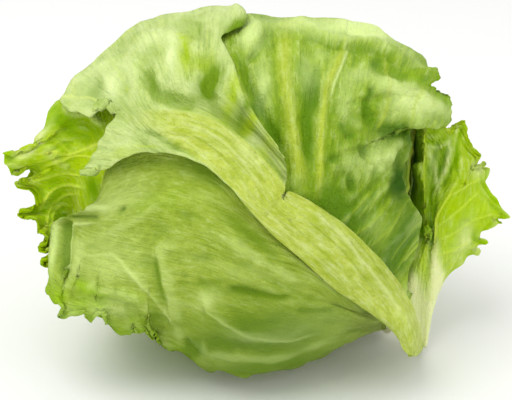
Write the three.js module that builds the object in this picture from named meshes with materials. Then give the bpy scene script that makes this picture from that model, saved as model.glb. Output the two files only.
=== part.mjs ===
// Head of iceberg lettuce lying on its side, outer leaves, hearted middle and cut stem.
// Millimetres, +Z up. The origin is on the floor, in the middle of the patch the head rests on.
import * as THREE from "three";

// Whole head
const centreHeight = 69.2;
const viewTilt = 22;
const headDepth = 80;
const neckRise = 10;
const neckSpread = 13;
const stemDirection = [0.768, -0.577, -0.274];

// Radius of the head seen from its front, every 15 degrees from the right, counter-clockwise
const outlineRadii = [
  82, 86, 97, 101, 97, 88, 88, 89, 92, 91, 94, 91,
  86, 88, 92, 86, 77, 80, 82, 81, 80, 82, 84, 83,
];

// How far under the outside of the head each layer of leaves lies
const layerStep = 3.6;
const firstLayer = 0;
const secondLayer = -layerStep;
const thirdLayer = -2 * layerStep;
const fourthLayer = -3 * layerStep;
const heartDepth = 15.2;

// Leaf blades
const bladeThickness = 1.5;
const rowsAlong = 17;
const columnsAcross = 12;
const floorGap = 0.7;
const innerFloorGap = 2.6;
const heartFloorGap = 5.2;

// Heart
const heartRings = 16;
const heartSides = 26;

// Cut stem
const stemOuterEnd = 92;
const stemInnerEnd = 70;
const stemButtRadius = 8.6;
const stemWidestRadius = 11;
const stemInnerRadius = 9;
const stemSides = 24;

const radians = THREE.MathUtils.degToRad;

// The head is drawn in a tilted frame: right, up and toward the person looking at it
const tiltRight = new THREE.Vector3(1, 0, 0);
const tiltUp = new THREE.Vector3(0, Math.sin(radians(viewTilt)), Math.cos(radians(viewTilt)));
const tiltToward = new THREE.Vector3(0, -Math.cos(radians(viewTilt)), Math.sin(radians(viewTilt)));
const centre = new THREE.Vector3(0, 0, centreHeight);

const stemAxis = new THREE.Vector3(...stemDirection).normalize();
const towardViewer = new THREE.Vector3(0, 0, 1);
const frontSide = towardViewer.clone().addScaledVector(stemAxis, -towardViewer.dot(stemAxis)).normalize();
const turnSide = new THREE.Vector3().crossVectors(frontSide, stemAxis);

function smooth(before, start, end, after, part) {
  const bend = 3 * (start - end) + after - before;
  return start + 0.5 * part * (end - before + part * (2 * before - 5 * start + 4 * end - after + part * bend));
}

function outlineRadius(angle) {
  const count = outlineRadii.length;
  const turns = angle / (2 * Math.PI);
  const place = (turns - Math.floor(turns)) * count;
  const index = Math.floor(place);
  const around = [-1, 0, 1, 2].map((step) => outlineRadii[(index + step + count) % count]);
  return smooth(...around, place - index);
}

// Distance from the middle of the head to its outside, without the neck round the stem
function plainRadius(direction) {
  const flat = outlineRadius(Math.atan2(direction.y, direction.x));
  const sideways = (direction.x ** 2 + direction.y ** 2) / flat ** 2;
  return 1 / Math.sqrt(sideways + direction.z ** 2 / headDepth ** 2);
}

function headRadius(direction) {
  const away = direction.angleTo(stemAxis) / radians(neckSpread);
  return plainRadius(direction) + neckRise * Math.exp(-(away ** 2));
}

function toWorld(point) {
  return centre.clone()
    .addScaledVector(tiltRight, point.x)
    .addScaledVector(tiltUp, point.y)
    .addScaledVector(tiltToward, point.z);
}

// Values at a place from 0 to 1 along a row of stations
function alongStations(stations, place) {
  const last = stations.length - 1;
  const scaled = Math.min(Math.max(place, 0), 1) * last;
  const index = Math.min(Math.floor(scaled), last - 1);
  const start = stations[index];
  const end = stations[index + 1];
  return start.map((value, k) => {
    const before = index > 0 ? stations[index - 1][k] : 2 * value - end[k];
    const after = index + 2 <= last ? stations[index + 2][k] : 2 * end[k] - value;
    return smooth(before, value, end[k], after, scaled - index);
  });
}

// Place on a wrapped leaf: angle from the stem, angle to the side of the midrib, lift off its layer
function wrappedPoint(leaf, station) {
  const [along, across, lift] = station;
  const turn = radians(leaf.turn);
  const ribSide = frontSide.clone().multiplyScalar(Math.cos(turn)).addScaledVector(turnSide, Math.sin(turn));
  const sideways = new THREE.Vector3().crossVectors(ribSide, stemAxis);
  const direction = stemAxis.clone().multiplyScalar(Math.cos(radians(across)) * Math.cos(radians(along)));
  direction.addScaledVector(ribSide, Math.cos(radians(across)) * Math.sin(radians(along)));
  direction.addScaledVector(sideways, Math.sin(radians(across)));
  direction.normalize();
  return toWorld(direction.multiplyScalar(headRadius(direction) + leaf.layer + lift));
}

// Place on a leaf that stands clear of the head: right, up and toward in the tilted frame
function standingPoint(leaf, station) {
  return toWorld(new THREE.Vector3(...station));
}

function leafPoint(leaf, along, across) {
  const rib = alongStations(leaf.rib, along);
  const margin = alongStations(across < 0 ? leaf.left : leaf.right, along);
  const share = Math.abs(across);
  const station = rib.map((value, k) => value + (margin[k] - value) * (k === 2 ? share ** 2 : share));
  return leaf.standing ? standingPoint(leaf, station) : wrappedPoint(leaf, station);
}

// A quarter-ellipse swelling along the lower midrib
function ribSwelling(leaf, along, across) {
  if (!leaf.ribRise || along > leaf.ribLength) {
    return 0;
  }
  const fade = Math.sqrt(1 - (along / leaf.ribLength) ** 2);
  const side = Math.min(Math.abs(across) / leaf.ribShare, 1);
  return leaf.ribRise * fade * Math.sqrt(1 - side ** 2);
}

function meshOf(name, points, triangles, material) {
  const geometry = new THREE.BufferGeometry();
  const values = points.flatMap((point) => [point.x, point.y, point.z]);
  geometry.setAttribute("position", new THREE.Float32BufferAttribute(values, 3));
  geometry.setIndex(triangles.flat());
  geometry.computeVertexNormals();
  const mesh = new THREE.Mesh(geometry, material);
  mesh.name = name;
  return mesh;
}

// A leaf is a thin closed blade: outer face, inner face and the edge between them
function leafMesh(leaf, material) {
  const outer = [];
  const inner = [];
  const nudge = 0.004;
  for (let row = 0; row <= rowsAlong; row += 1) {
    for (let column = 0; column <= columnsAcross; column += 1) {
      const along = row / rowsAlong;
      const across = (2 * column) / columnsAcross - 1;
      const here = leafPoint(leaf, along, across);
      const back = Math.max(along - nudge, 0);
      const leftward = Math.max(across - nudge, -1);
      const lengthwise = leafPoint(leaf, back + nudge, across).sub(leafPoint(leaf, back, across));
      const widthwise = leafPoint(leaf, along, leftward + nudge).sub(leafPoint(leaf, along, leftward));
      const facing = new THREE.Vector3().crossVectors(widthwise, lengthwise).normalize();
      const top = here.clone().addScaledVector(facing, ribSwelling(leaf, along, across));
      const bottom = here.clone().addScaledVector(facing, -bladeThickness);
      top.z = Math.max(top.z, leaf.floor);
      bottom.z = Math.max(bottom.z, leaf.floor + bladeThickness);
      outer.push(top);
      inner.push(bottom);
    }
  }
  const width = columnsAcross + 1;
  const innerStart = outer.length;
  const triangles = [];
  for (let row = 0; row < rowsAlong; row += 1) {
    for (let column = 0; column < columnsAcross; column += 1) {
      const a = row * width + column;
      const b = a + 1;
      const c = a + width + 1;
      const d = a + width;
      triangles.push([a, b, c], [a, c, d]);
      triangles.push([innerStart + a, innerStart + c, innerStart + b]);
      triangles.push([innerStart + a, innerStart + d, innerStart + c]);
    }
  }
  const rim = [];
  for (let column = 0; column < columnsAcross; column += 1) {
    rim.push(column);
  }
  for (let row = 0; row < rowsAlong; row += 1) {
    rim.push(row * width + columnsAcross);
  }
  for (let column = columnsAcross; column > 0; column -= 1) {
    rim.push(rowsAlong * width + column);
  }
  for (let row = rowsAlong; row > 0; row -= 1) {
    rim.push(row * width);
  }
  rim.forEach((start, k) => {
    const end = rim[(k + 1) % rim.length];
    triangles.push([start, innerStart + start, innerStart + end]);
    triangles.push([start, innerStart + end, end]);
  });
  return meshOf(leaf.name, [...outer, ...inner], triangles, material);
}

// Closed body from rings of equal size between two end points
function ringedMesh(name, firstEnd, rings, lastEnd, material) {
  const sides = rings[0].length;
  const points = [firstEnd, ...rings.flat(), lastEnd];
  const triangles = [];
  const last = points.length - 1;
  for (let side = 0; side < sides; side += 1) {
    const next = (side + 1) % sides;
    triangles.push([0, 1 + side, 1 + next]);
    for (let ring = 0; ring < rings.length - 1; ring += 1) {
      const a = 1 + ring * sides + side;
      const b = 1 + ring * sides + next;
      triangles.push([a, a + sides, b + sides], [a, b + sides, b]);
    }
    const final = last - sides;
    triangles.push([last, final + next, final + side]);
  }
  return meshOf(name, points, triangles, material);
}

function heartPoint(polar, turn) {
  const direction = stemAxis.clone().multiplyScalar(Math.cos(polar));
  direction.addScaledVector(frontSide, Math.sin(polar) * Math.cos(turn));
  direction.addScaledVector(turnSide, Math.sin(polar) * Math.sin(turn));
  const point = toWorld(direction.multiplyScalar(plainRadius(direction) - heartDepth));
  point.z = Math.max(point.z, heartFloorGap);
  return point;
}

function heartMesh(material) {
  const rings = [];
  for (let ring = 1; ring < heartRings; ring += 1) {
    const polar = (Math.PI * ring) / heartRings;
    rings.push(Array.from({ length: heartSides }, (_, side) => {
      return heartPoint(polar, (-2 * Math.PI * side) / heartSides);
    }));
  }
  return ringedMesh("heart", heartPoint(0, 0), rings, heartPoint(Math.PI, 0), material);
}

function stemMesh(material) {
  const profile = [
    [stemOuterEnd, stemButtRadius],
    [stemOuterEnd - 1.6, stemWidestRadius],
    [stemOuterEnd - 7, stemWidestRadius],
    [stemInnerEnd, stemInnerRadius],
  ];
  const placed = (distance, radius, turn) => {
    const point = stemAxis.clone().multiplyScalar(distance);
    point.addScaledVector(frontSide, radius * Math.cos(turn));
    point.addScaledVector(turnSide, radius * Math.sin(turn));
    return toWorld(point);
  };
  const rings = profile.map(([distance, radius]) => {
    return Array.from({ length: stemSides }, (_, side) => placed(distance, radius, (-2 * Math.PI * side) / stemSides));
  });
  return ringedMesh("stem", placed(stemOuterEnd, 0, 0), rings, placed(stemInnerEnd, 0, 0), material);
}

const leaves = [
  {
    name: "front_leaf", turn: 0, layer: firstLayer, floor: floorGap,
    ribRise: 2.6, ribLength: 0.62, ribShare: 1,
    rib: [[12, -6, 20], [24, -3, 7], [48, 2, 0], [75, 4, 0], [97, 4, 0], [113, 8, 0], [132, 7, 0],
      [150, 3, 0], [172, 5, 0], [198, 8, 0]],
    left: [[11, -8, 20], [24, -8, 6], [45, -6, 0], [75, -5, 0], [101, -2, 0], [120, 1, 0],
      [134, -4, 0], [150, -21, 0], [158, -8, 0], [178, -5, 0], [202, -10, 0]],
    right: [[13, -3, 20], [24, 2, 6], [48, 9, 0], [75, 11, 0], [96, 10, 0], [104, 17, 0],
      [125, 25, 0], [142, 33, 0], [160, 42, 0], [182, 52, 0], [204, 48, 0]],
  },
  {
    name: "lower_leaf", turn: -45, layer: secondLayer, floor: floorGap,
    rib: [[14, 10, 1], [32, 16, 0], [60, 8, 0], [90, 2, 0], [120, -2, 0], [140, -8, 0], [152, -18, 0]],
    left: [[14, 6, 2], [28, 7, 1], [35, 1, 1], [41, -14, 1], [52, -28, 1], [70, -36, 1], [90, -39, 1],
      [108, -42, 4], [122, -46, 11], [132, -46, 13], [143, -41, 6], [150, -34, 1]],
    right: [[14, 13, 1], [23, 19, 0], [41, 31, 0], [69, 42, 0], [90, 47, 0], [112, 47, 0], [126, 43, 0],
      [140, 26, 0], [152, 0, 0]],
  },
  {
    name: "upper_leaf", turn: 45, layer: secondLayer, floor: floorGap,
    rib: [[14, -4, 2], [36, -16, 0], [56, -12, 0], [64, 0, 0], [74, 8, 2], [92, 12, 3], [115, 16, 1],
      [138, 22, 0]],
    left: [[14, -10, 1], [24, -18, 0], [42, -29, 0], [70, -38, 0], [90, -37, 0], [108, -34, 0],
      [120, -31, 0], [134, -20, 0], [146, -8, 0]],
    right: [[15, 0, 4], [36, -2, 0], [56, 8, -3], [59, 26, 6], [66, 39, 9], [88, 56, 7], [116, 58, 2],
      [142, 52, 0]],
  },
  {
    name: "right_leaf", standing: true, floor: floorGap, ribRise: 2, ribLength: 0.8, ribShare: 0.7,
    rib: [[83, -59, -9], [83, -44, -4], [85, -22, 2], [86, -7, 6], [94, 8, 6], [97, 24, 4], [92, 34, 2]],
    left: [[79, -57, -10], [79, -40, -8], [78, -22, -4], [79, -3, 0], [80, 15, 0], [81, 29, 0], [86, 35, 0]],
    right: [[86, -57, -13], [89, -39, -15], [101, -27, -13], [115, -10, -10], [109, 10, -10],
      [102, 27, -8], [98, 35, -4]],
  },
  {
    name: "left_leaf", turn: -20, layer: thirdLayer, floor: floorGap,
    rib: [[14, -6, 1], [50, -14, 0], [95, -22, 0], [135, -26, 0], [160, -30, 0], [174, -33, 8],
      [189, -35, 27]],
    left: [[14, -12, 1], [50, -28, 0], [95, -38, 0], [135, -44, 0], [158, -52, 0], [175, -58, 3],
      [187, -61, 15]],
    right: [[14, 0, 1], [50, 2, 0], [95, 0, 0], [135, -2, 0], [160, 0, -1], [178, -8, 1], [193, -16, 9]],
  },
  {
    name: "rear_upper_leaf", turn: 115, layer: thirdLayer, floor: floorGap,
    ribRise: 0.8, ribLength: 0.5, ribShare: 0.3,
    rib: [[14, 0, 0], [50, 0, 0], [90, 0, 0], [125, 0, 0], [162, 0, 0]],
    left: [[14, -12, 0], [50, -28, 0], [90, -36, 0], [125, -36, 0], [156, -22, 0]],
    right: [[14, 12, 0], [50, 28, 0], [90, 37, 0], [125, 38, 0], [158, 22, 0]],
  },
  {
    name: "back_leaf", turn: 168, layer: secondLayer, floor: floorGap,
    ribRise: 2.6, ribLength: 0.7, ribShare: 0.3,
    rib: [[14, 0, 4], [48, 0, 0], [85, 0, 0], [120, 0, 0], [152, 0, 1]],
    left: [[14, -12, 3], [48, -33, 0], [85, -44, 0], [120, -42, 0], [148, -20, 2]],
    right: [[14, 12, 3], [48, 35, 0], [85, 47, 0], [120, 49, 0], [148, 27, 2]],
  },
  {
    name: "under_leaf", turn: 248, layer: thirdLayer, floor: 0,
    rib: [[14, 0, 0], [45, 0, 0], [80, 0, 0], [108, 0, 0], [128, 0, 0]],
    left: [[14, -13, 0], [45, -32, 0], [80, -38, 0], [108, -34, 0], [126, -20, 0]],
    right: [[14, 13, 0], [45, 25, 0], [62, 27, 0], [80, 31, 0], [104, 23, 0], [120, 4, 0]],
  },
  {
    name: "inner_right_leaf", turn: 78, layer: fourthLayer, floor: floorGap,
    rib: [[15, 0, 0], [50, 0, 0], [90, 0, 0], [130, 0, 0], [160, 0, 0]],
    left: [[15, -12, 0], [50, -36, 0], [90, -47, 0], [130, -38, 0], [156, -16, 0]],
    right: [[15, 12, 0], [50, 30, 0], [90, 38, 0], [130, 34, 0], [156, 16, 0]],
  },
  {
    name: "inner_left_leaf", turn: 240, layer: fourthLayer, floor: innerFloorGap,
    rib: [[40, 0, 0], [80, 0, 0], [112, 0, 0], [142, 0, 0], [174, 0, 0]],
    left: [[40, -26, 0], [80, -44, 0], [112, -50, 0], [142, -42, 0], [172, -22, 0]],
    right: [[40, 26, 0], [80, 44, 0], [112, 50, 0], [142, 40, 0], [172, 16, 0]],
  },
];

const outerLeafGreen = new THREE.MeshStandardMaterial({ color: 0x9dbb4c, roughness: 0.45, metalness: 0 });
const frillGreen = new THREE.MeshStandardMaterial({ color: 0x8fba1e, roughness: 0.45, metalness: 0 });
const heartGreen = new THREE.MeshStandardMaterial({ color: 0xdbe8a4, roughness: 0.5, metalness: 0 });
const stemCream = new THREE.MeshStandardMaterial({ color: 0xe9ecc9, roughness: 0.6, metalness: 0 });
const flaredLeaves = ["left_leaf", "right_leaf"];

const group = new THREE.Group();
for (const leaf of leaves) {
  group.add(leafMesh(leaf, flaredLeaves.includes(leaf.name) ? frillGreen : outerLeafGreen));
}
group.add(heartMesh(heartGreen));
group.add(stemMesh(stemCream));

export default group;
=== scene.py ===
import bpy
import bmesh
import math
import numpy as np
from mathutils import Matrix, Vector


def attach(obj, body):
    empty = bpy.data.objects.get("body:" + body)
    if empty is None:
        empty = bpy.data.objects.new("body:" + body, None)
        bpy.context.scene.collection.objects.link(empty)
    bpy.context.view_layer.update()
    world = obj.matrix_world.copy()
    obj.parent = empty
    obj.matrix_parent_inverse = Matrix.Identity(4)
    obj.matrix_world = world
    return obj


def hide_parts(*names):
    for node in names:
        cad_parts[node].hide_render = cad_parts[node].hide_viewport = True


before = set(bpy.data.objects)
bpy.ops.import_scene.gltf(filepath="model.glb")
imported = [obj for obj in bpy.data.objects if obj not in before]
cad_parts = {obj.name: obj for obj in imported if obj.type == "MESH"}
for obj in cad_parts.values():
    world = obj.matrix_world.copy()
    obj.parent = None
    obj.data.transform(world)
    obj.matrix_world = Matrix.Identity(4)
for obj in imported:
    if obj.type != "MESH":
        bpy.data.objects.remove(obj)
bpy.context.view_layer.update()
print("frame loaded, nodes:", len(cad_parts))

# all shapes are worked out in millimetres and scaled once, when a mesh is made
metresPerMm = 0.001

# the head: radii seen from the front, every 15 degrees from the right, counter-clockwise
head = {
    "centreHeight": 69.2, "viewTilt": 22, "depth": 80, "neckRise": 10, "neckSpread": 13,
    "stemDirection": (0.768, -0.577, -0.274), "layerStep": 3.6,
    "outlineRadii": (82, 86, 97, 101, 97, 88, 88, 89, 92, 91, 94, 91,
                     86, 88, 92, 86, 77, 80, 82, 81, 80, 82, 84, 83),
}

# the photograph's view, which also places the folds that it shows
photoView = {"width": 512, "height": 400, "lens": 100, "sensor": 36, "distance": 633.6, "sideStep": 4.9,
             "mmPerPixel": 0.45, "clipEnd": 20}

# a drawn feature wanders a little off its line, and fades out where the leaf turns away from the viewer
drawn = {"fadeStart": -0.3, "fadeEnd": 0.12, "wanderSizes": (7.0, 3.0), "wanderSeed": 201, "lineWander": 0.35,
         "ovalWander": 0.45, "lineTaper": 0.15, "endHeight": 0.25, "stepTaper": 0.2, "pathPieces": 8}

# floating point shares painted on every leaf: the order is that of the attributes. The darker green share is
# darker tissue plus painted shade in hollows, creases and under overlapping leaves, the darkest share is
# painted shade in hollows, the pale share is pale tissue plus painted highlights and sheen on crests, and the
# glow share is painted light shining through the thin leaf
paintNames = ("rib", "vein", "deep", "dark", "pale", "glow", "edge")

tilt = math.radians(head["viewTilt"])
tiltRight = np.array([1.0, 0.0, 0.0])
tiltUp = np.array([0.0, math.sin(tilt), math.cos(tilt)])
tiltToward = np.array([0.0, -math.cos(tilt), math.sin(tilt)])
headCentre = np.array([0.0, 0.0, head["centreHeight"]])
cameraPlace = headCentre + photoView["sideStep"] * tiltRight + photoView["distance"] * tiltToward
focalPixels = photoView["width"] * photoView["lens"] / photoView["sensor"]

stemAxis = np.array(head["stemDirection"])
stemAxis = stemAxis / np.linalg.norm(stemAxis)
frontSide = np.array([0.0, 0.0, 1.0]) - stemAxis[2] * stemAxis
frontSide = frontSide / np.linalg.norm(frontSide)
turnSide = np.cross(frontSide, stemAxis)


def easeBetween(value, low, high):
    part = np.clip((value - low) / (high - low), 0, 1)
    return part * part * (3 - 2 * part)


def bell(distance, width):
    return np.exp(-(distance / width) ** 2)


def unit(vectors):
    return vectors / np.maximum(np.linalg.norm(vectors, axis=-1, keepdims=True), 1e-9)


def toWorld(tilted):
    return headCentre + tilted[..., :1] * tiltRight + tilted[..., 1:2] * tiltUp + tilted[..., 2:] * tiltToward


def pixelsOf(points):
    offset = points - cameraPlace
    depth = -(offset @ tiltToward)
    x = photoView["width"] / 2 + focalPixels * (offset @ tiltRight) / depth
    y = photoView["height"] / 2 - focalPixels * (offset @ tiltUp) / depth
    return np.stack([x, y], -1)


# where a pixel's line of sight is, some way toward the viewer from the head's centre
def sightPoint(x, y, toward):
    reach = photoView["distance"] - toward
    right = (x - photoView["width"] / 2) / focalPixels * reach + photoView["sideStep"]
    return right, (photoView["height"] / 2 - y) / focalPixels * reach


def plainRadius(direction):
    radii = np.array(head["outlineRadii"], float)
    count = len(radii)
    place = (np.arctan2(direction[..., 1], direction[..., 0]) / (2 * math.pi) * count) % count
    index = np.floor(place).astype(int)
    part = place - index
    before, start, end, after = [radii[(index + step) % count] for step in (-1, 0, 1, 2)]
    bend = 3 * (start - end) + after - before
    curve = 2 * before - 5 * start + 4 * end - after + part * bend
    flat = start + 0.5 * part * (end - before + part * curve)
    sideways = (direction[..., 0] ** 2 + direction[..., 1] ** 2) / flat ** 2
    return 1 / np.sqrt(sideways + direction[..., 2] ** 2 / head["depth"] ** 2)


def headRadius(direction):
    away = np.arccos(np.clip(direction @ stemAxis, -1, 1)) / math.radians(head["neckSpread"])
    return plainRadius(direction) + head["neckRise"] * np.exp(-away ** 2)


def leafSides(turn):
    angle = math.radians(turn)
    ribSide = math.cos(angle) * frontSide + math.sin(angle) * turnSide
    return ribSide, np.cross(ribSide, stemAxis)


# angles from the stem along the midrib and sideways from it, and the lift off the leaf's layer
def wrappedPoints(leaf, stations):
    along = np.radians(stations[..., 0])[..., None]
    across = np.radians(stations[..., 1])[..., None]
    ribSide, sideways = leafSides(leaf["turn"])
    ahead = np.cos(along) * stemAxis + np.sin(along) * ribSide
    direction = np.cos(across) * ahead + np.sin(across) * sideways
    radius = headRadius(direction) + leaf["layer"] * head["layerStep"] + stations[..., 2]
    return toWorld(direction * radius[..., None])


# a place of the photograph, found on the leaf's own layer of the head
def anglesSeen(leaf, x, y, lift):
    searchReach, searchSteps = 130, 1041
    toward = np.linspace(searchReach, -searchReach, searchSteps)
    points = np.stack([*sightPoint(x, y, toward), toward], -1)
    radius = np.linalg.norm(points, axis=1)
    direction = points / radius[:, None]
    outside = radius - (headRadius(direction) + leaf["layer"] * head["layerStep"] + lift)
    nearest = int(np.argmax(outside < 0)) if (outside < 0).any() else int(np.argmin(outside))
    ribSide, sideways = leafSides(leaf["turn"])
    chosen = direction[nearest]
    along = math.degrees(math.atan2(chosen @ ribSide, chosen @ stemAxis)) % 360
    return along, math.degrees(math.asin(chosen @ sideways)), lift


# a rail's station is its place along the leaf, then x, y and lift in the photograph,
# or depth on a standing leaf, and a turned one has its angles along and across instead
def turned(place, along, across, lift=0.0):
    return "turned", place, along, across, lift


# a smooth run of values through keyed places
def smoothKeys(places, values, wanted):
    places = np.array(places, float)
    values = np.array(values, float)
    slopes = np.gradient(values, places, axis=0)
    index = np.clip(np.searchsorted(places, wanted, side="right") - 1, 0, len(places) - 2)
    gap = places[index + 1] - places[index]
    part = (wanted - places[index]) / gap
    shape = (slice(None),) + (None,) * (values.ndim - 1)
    part = part[shape]
    gap = gap[shape]
    ease = part ** 2 * (3 - 2 * part)
    return (values[index] * (1 - ease) + values[index + 1] * ease
            + gap * slopes[index] * part * (1 - part) ** 2
            - gap * slopes[index + 1] * part ** 2 * (1 - part))


def straightKeys(places, values, wanted):
    values = np.array(values, float)
    return np.stack([np.interp(wanted, places, values[:, k]) for k in range(values.shape[1])], -1)


def railValues(leaf, stations, wanted, sharp):
    places = []
    values = []
    standing = leaf.get("standing")
    for station in stations:
        if station[0] == "turned":
            places.append(station[1])
            values.append(station[2:])
            continue
        place, x, y, lift = (*station, 0.0)[:4]
        places.append(place)
        values.append((*sightPoint(x, y, lift), lift) if standing else anglesSeen(leaf, x, y, lift))
    return straightKeys(places, values, wanted) if sharp else smoothKeys(places, values, wanted)


def softened(values, reach, axes=(0, 1)):
    for axis in axes:
        padding = [(0, 0), (0, 0)]
        padding[axis] = (reach + 1, reach)
        total = np.cumsum(np.pad(values, padding, mode="edge"), axis=axis)
        count = 2 * reach + 1
        if axis == 0:
            values = (total[count:] - total[:-count]) / count
        else:
            values = (total[:, count:] - total[:, :-count]) / count
    return values


# the tip margin follows a drawn line of its own, and the blade is drawn out to it
def pulledTip(leaf, stations, along, across):
    pullCurve, pastLastSide = 1.5, 0.2
    sides = [side for side, x, y, lift in leaf["tipEdge"]]
    wanted = [anglesSeen(leaf, x, y, lift) for side, x, y, lift in leaf["tipEdge"]]
    pull = straightKeys(sides, wanted, across) - stations[-1]
    pull = pull * easeBetween(sides[-1] + pastLastSide - across, 0, pastLastSide)[:, None]
    share = easeBetween(along, 1 - leaf["tipReach"], 1) ** pullCurve
    return stations + share[:, None, None] * pull


# the sheet that a leaf's rails span, as a lattice of points with what its features need
def spanSheet(leaf):
    rows, columns = leaf["lattice"]
    along = np.linspace(0, 1, rows)
    across = np.linspace(-1, 1, columns)
    rails = leaf["rails"]
    sharp = leaf.get("sharpRails", ())
    lobeSoftening = 6
    sides = [side for side, stations in rails]
    curves = [railValues(leaf, stations, along, k in sharp) for k, (side, stations) in enumerate(rails)]
    for k in sorted(sharp, reverse=True):
        # lobes of the margin die out a little way into the blade
        beside = k + 1 if k == 0 else k - 1
        reach = leaf["lobeReach"]
        innerCurve = softened(curves[k], lobeSoftening, (0,)) * (1 - reach) + curves[beside] * reach
        innerSide = sides[k] * (1 - reach) + sides[beside] * reach
        curves.insert(max(k, beside), innerCurve)
        sides.insert(max(k, beside), innerSide)
    stations = smoothKeys(sides, np.stack(curves), across).transpose(1, 0, 2)
    if "tipEdge" in leaf:
        stations = pulledTip(leaf, stations, along, across)
    points = toWorld(stations) if leaf.get("standing") else wrappedPoints(leaf, stations)
    lengthwise = np.gradient(points, axis=0)
    widthwise = np.gradient(points, axis=1)
    facing = unit(np.cross(widthwise, lengthwise))
    outward = tiltToward if leaf.get("standing") else points - headCentre
    if np.mean(np.sum(facing * outward, -1)) < 0:
        facing = -facing
    stepAlong = np.linalg.norm(lengthwise, axis=-1)
    middle = columns // 2
    ribLength = np.repeat(np.cumsum(stepAlong[:, middle])[:, None], columns, 1)
    sideLength = np.cumsum(np.linalg.norm(widthwise, axis=-1), axis=1)
    sideLength = sideLength - sideLength[:, middle:middle + 1]
    fromLeft = sideLength - sideLength[:, :1]
    fromRight = sideLength[:, -1:] - sideLength
    upLength = np.cumsum(stepAlong, axis=0)
    coarse, fine = drawn["wanderSizes"]
    wander = []
    for seed in (drawn["wanderSeed"], drawn["wanderSeed"] + 1):
        wander.append(softNoise(points / coarse, seed) + 0.5 * softNoise(points / fine, seed + 2))
    return {
        "points": points, "facing": facing, "pixels": pixelsOf(points), "wander": np.stack(wander, -1),
        "toViewer": np.sum(facing * unit(cameraPlace - points), -1),
        "along": np.repeat(along[:, None], columns, 1), "across": np.repeat(across[None, :], rows, 0),
        "ribLength": ribLength, "sideLength": sideLength, "edgeLength": upLength,
        "fromSides": np.minimum(fromLeft, fromRight), "fromLeft": fromLeft, "fromRight": fromRight,
        "fromTip": upLength[-1:] - upLength, "flow": np.stack([ribLength, sideLength], -1),
        "rise": np.zeros((rows, columns)), "paint": {name: np.zeros((rows, columns)) for name in paintNames},
    }


# repeatable soft noise from -1 to 1 on points of any number of axes
def softNoise(points, seed):
    spread, stir, start, last, modulus = 1103515245, 12345, 6789, 48271, 2147483647
    cell = np.floor(points).astype(np.int64)
    part = points - cell
    ease = part * part * (3 - 2 * part)
    axes = points.shape[-1]
    total = np.zeros(points.shape[:-1])
    for corner in range(2 ** axes):
        offset = [(corner >> axis) & 1 for axis in range(axes)]
        key = np.full(points.shape[:-1], seed * 7919 + 17, np.int64)
        weight = np.ones(points.shape[:-1])
        for axis in range(axes):
            key = (key * spread + (cell[..., axis] + offset[axis]) * stir + start) % modulus
            weight = weight * (ease[..., axis] if offset[axis] else 1 - ease[..., axis])
        total = total + weight * ((key * last) % modulus / float(modulus))
    return total * 2 - 1


# cells scattered over a plane: distance to the nearest border between two of them
def cellBorders(places, seed):
    cell = np.floor(places).astype(np.int64)
    nearest = np.full(places.shape[:-1], 9.0)
    second = np.full(places.shape[:-1], 9.0)
    for stepX in (-1, 0, 1):
        for stepY in (-1, 0, 1):
            cornerX = cell[..., 0] + stepX
            cornerY = cell[..., 1] + stepY
            key = (cornerX * 73856093 + cornerY * 19349663 + seed * 83492791) % 1000003
            jitterX = ((key * 7919) % 1009) / 1009.0
            jitterY = ((key * 104729) % 1013) / 1013.0
            distance = np.hypot(cornerX + jitterX - places[..., 0], cornerY + jitterY - places[..., 1])
            second = np.minimum(second, np.maximum(nearest, distance))
            nearest = np.minimum(nearest, distance)
    return second - nearest


# distance in pixels to a drawn line, which side of it, and how far along it
def lineDistance(pixels, path):
    best = np.full(pixels.shape[:-1], 1e9)
    side = np.zeros(pixels.shape[:-1])
    travelled = np.zeros(pixels.shape[:-1])
    path = np.array(path, float)
    lengths = np.linalg.norm(path[1:] - path[:-1], axis=1)
    starts = np.concatenate([[0], np.cumsum(lengths)])
    for k in range(len(lengths)):
        line = (path[k + 1] - path[k]) / max(lengths[k], 1e-6)
        offset = pixels - path[k]
        reach = np.clip(offset @ line, 0, lengths[k])
        gap = offset - reach[..., None] * line
        distance = np.hypot(gap[..., 0], gap[..., 1])
        closer = distance < best
        turnSign = np.sign(line[0] * offset[..., 1] - line[1] * offset[..., 0])
        best = np.where(closer, distance, best)
        side = np.where(closer, turnSign, side)
        travelled = np.where(closer, starts[k] + reach, travelled)
    return best, side, travelled / starts[-1]


def smoothPath(path):
    if len(path) < 3:
        return np.array(path, float)
    steps = (len(path) - 1) * drawn["pathPieces"] + 1
    return smoothKeys(np.arange(len(path)), path, np.linspace(0, len(path) - 1, steps))


def seenShare(sheet):
    return easeBetween(sheet["toViewer"], drawn["fadeStart"], drawn["fadeEnd"])


def addPaint(sheet, colour, share):
    sheet["paint"][colour] = np.clip(sheet["paint"][colour] + share, 0, 1)


# a raised or sunk line drawn over the photograph: height in mm, half width in pixels
def drawRidge(sheet, height, width, path, colour=None, amount=1.0):
    pixels = sheet["pixels"] + drawn["lineWander"] * width ** 0.5 * sheet["wander"]
    distance, side, travelled = lineDistance(pixels, smoothPath(path))
    taper, low = drawn["lineTaper"], drawn["endHeight"]
    fade = easeBetween(travelled, 0, taper) * easeBetween(1 - travelled, 0, taper)
    shape = bell(distance, width) * (low + (1 - low) * fade) * seenShare(sheet)
    sheet["rise"] += height * shape
    if colour:
        addPaint(sheet, colour, amount * shape)


# one side of a drawn line stands higher than the other, and evens out away from it
def drawStep(sheet, height, sharpness, reach, path):
    distance, side, travelled = lineDistance(sheet["pixels"], smoothPath(path))
    taper = drawn["stepTaper"]
    fade = easeBetween(travelled, 0, taper) * easeBetween(1 - travelled, 0, taper)
    step = np.tanh(side * distance / sharpness) * bell(distance, reach) * fade
    sheet["rise"] += height * step * seenShare(sheet)


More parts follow.
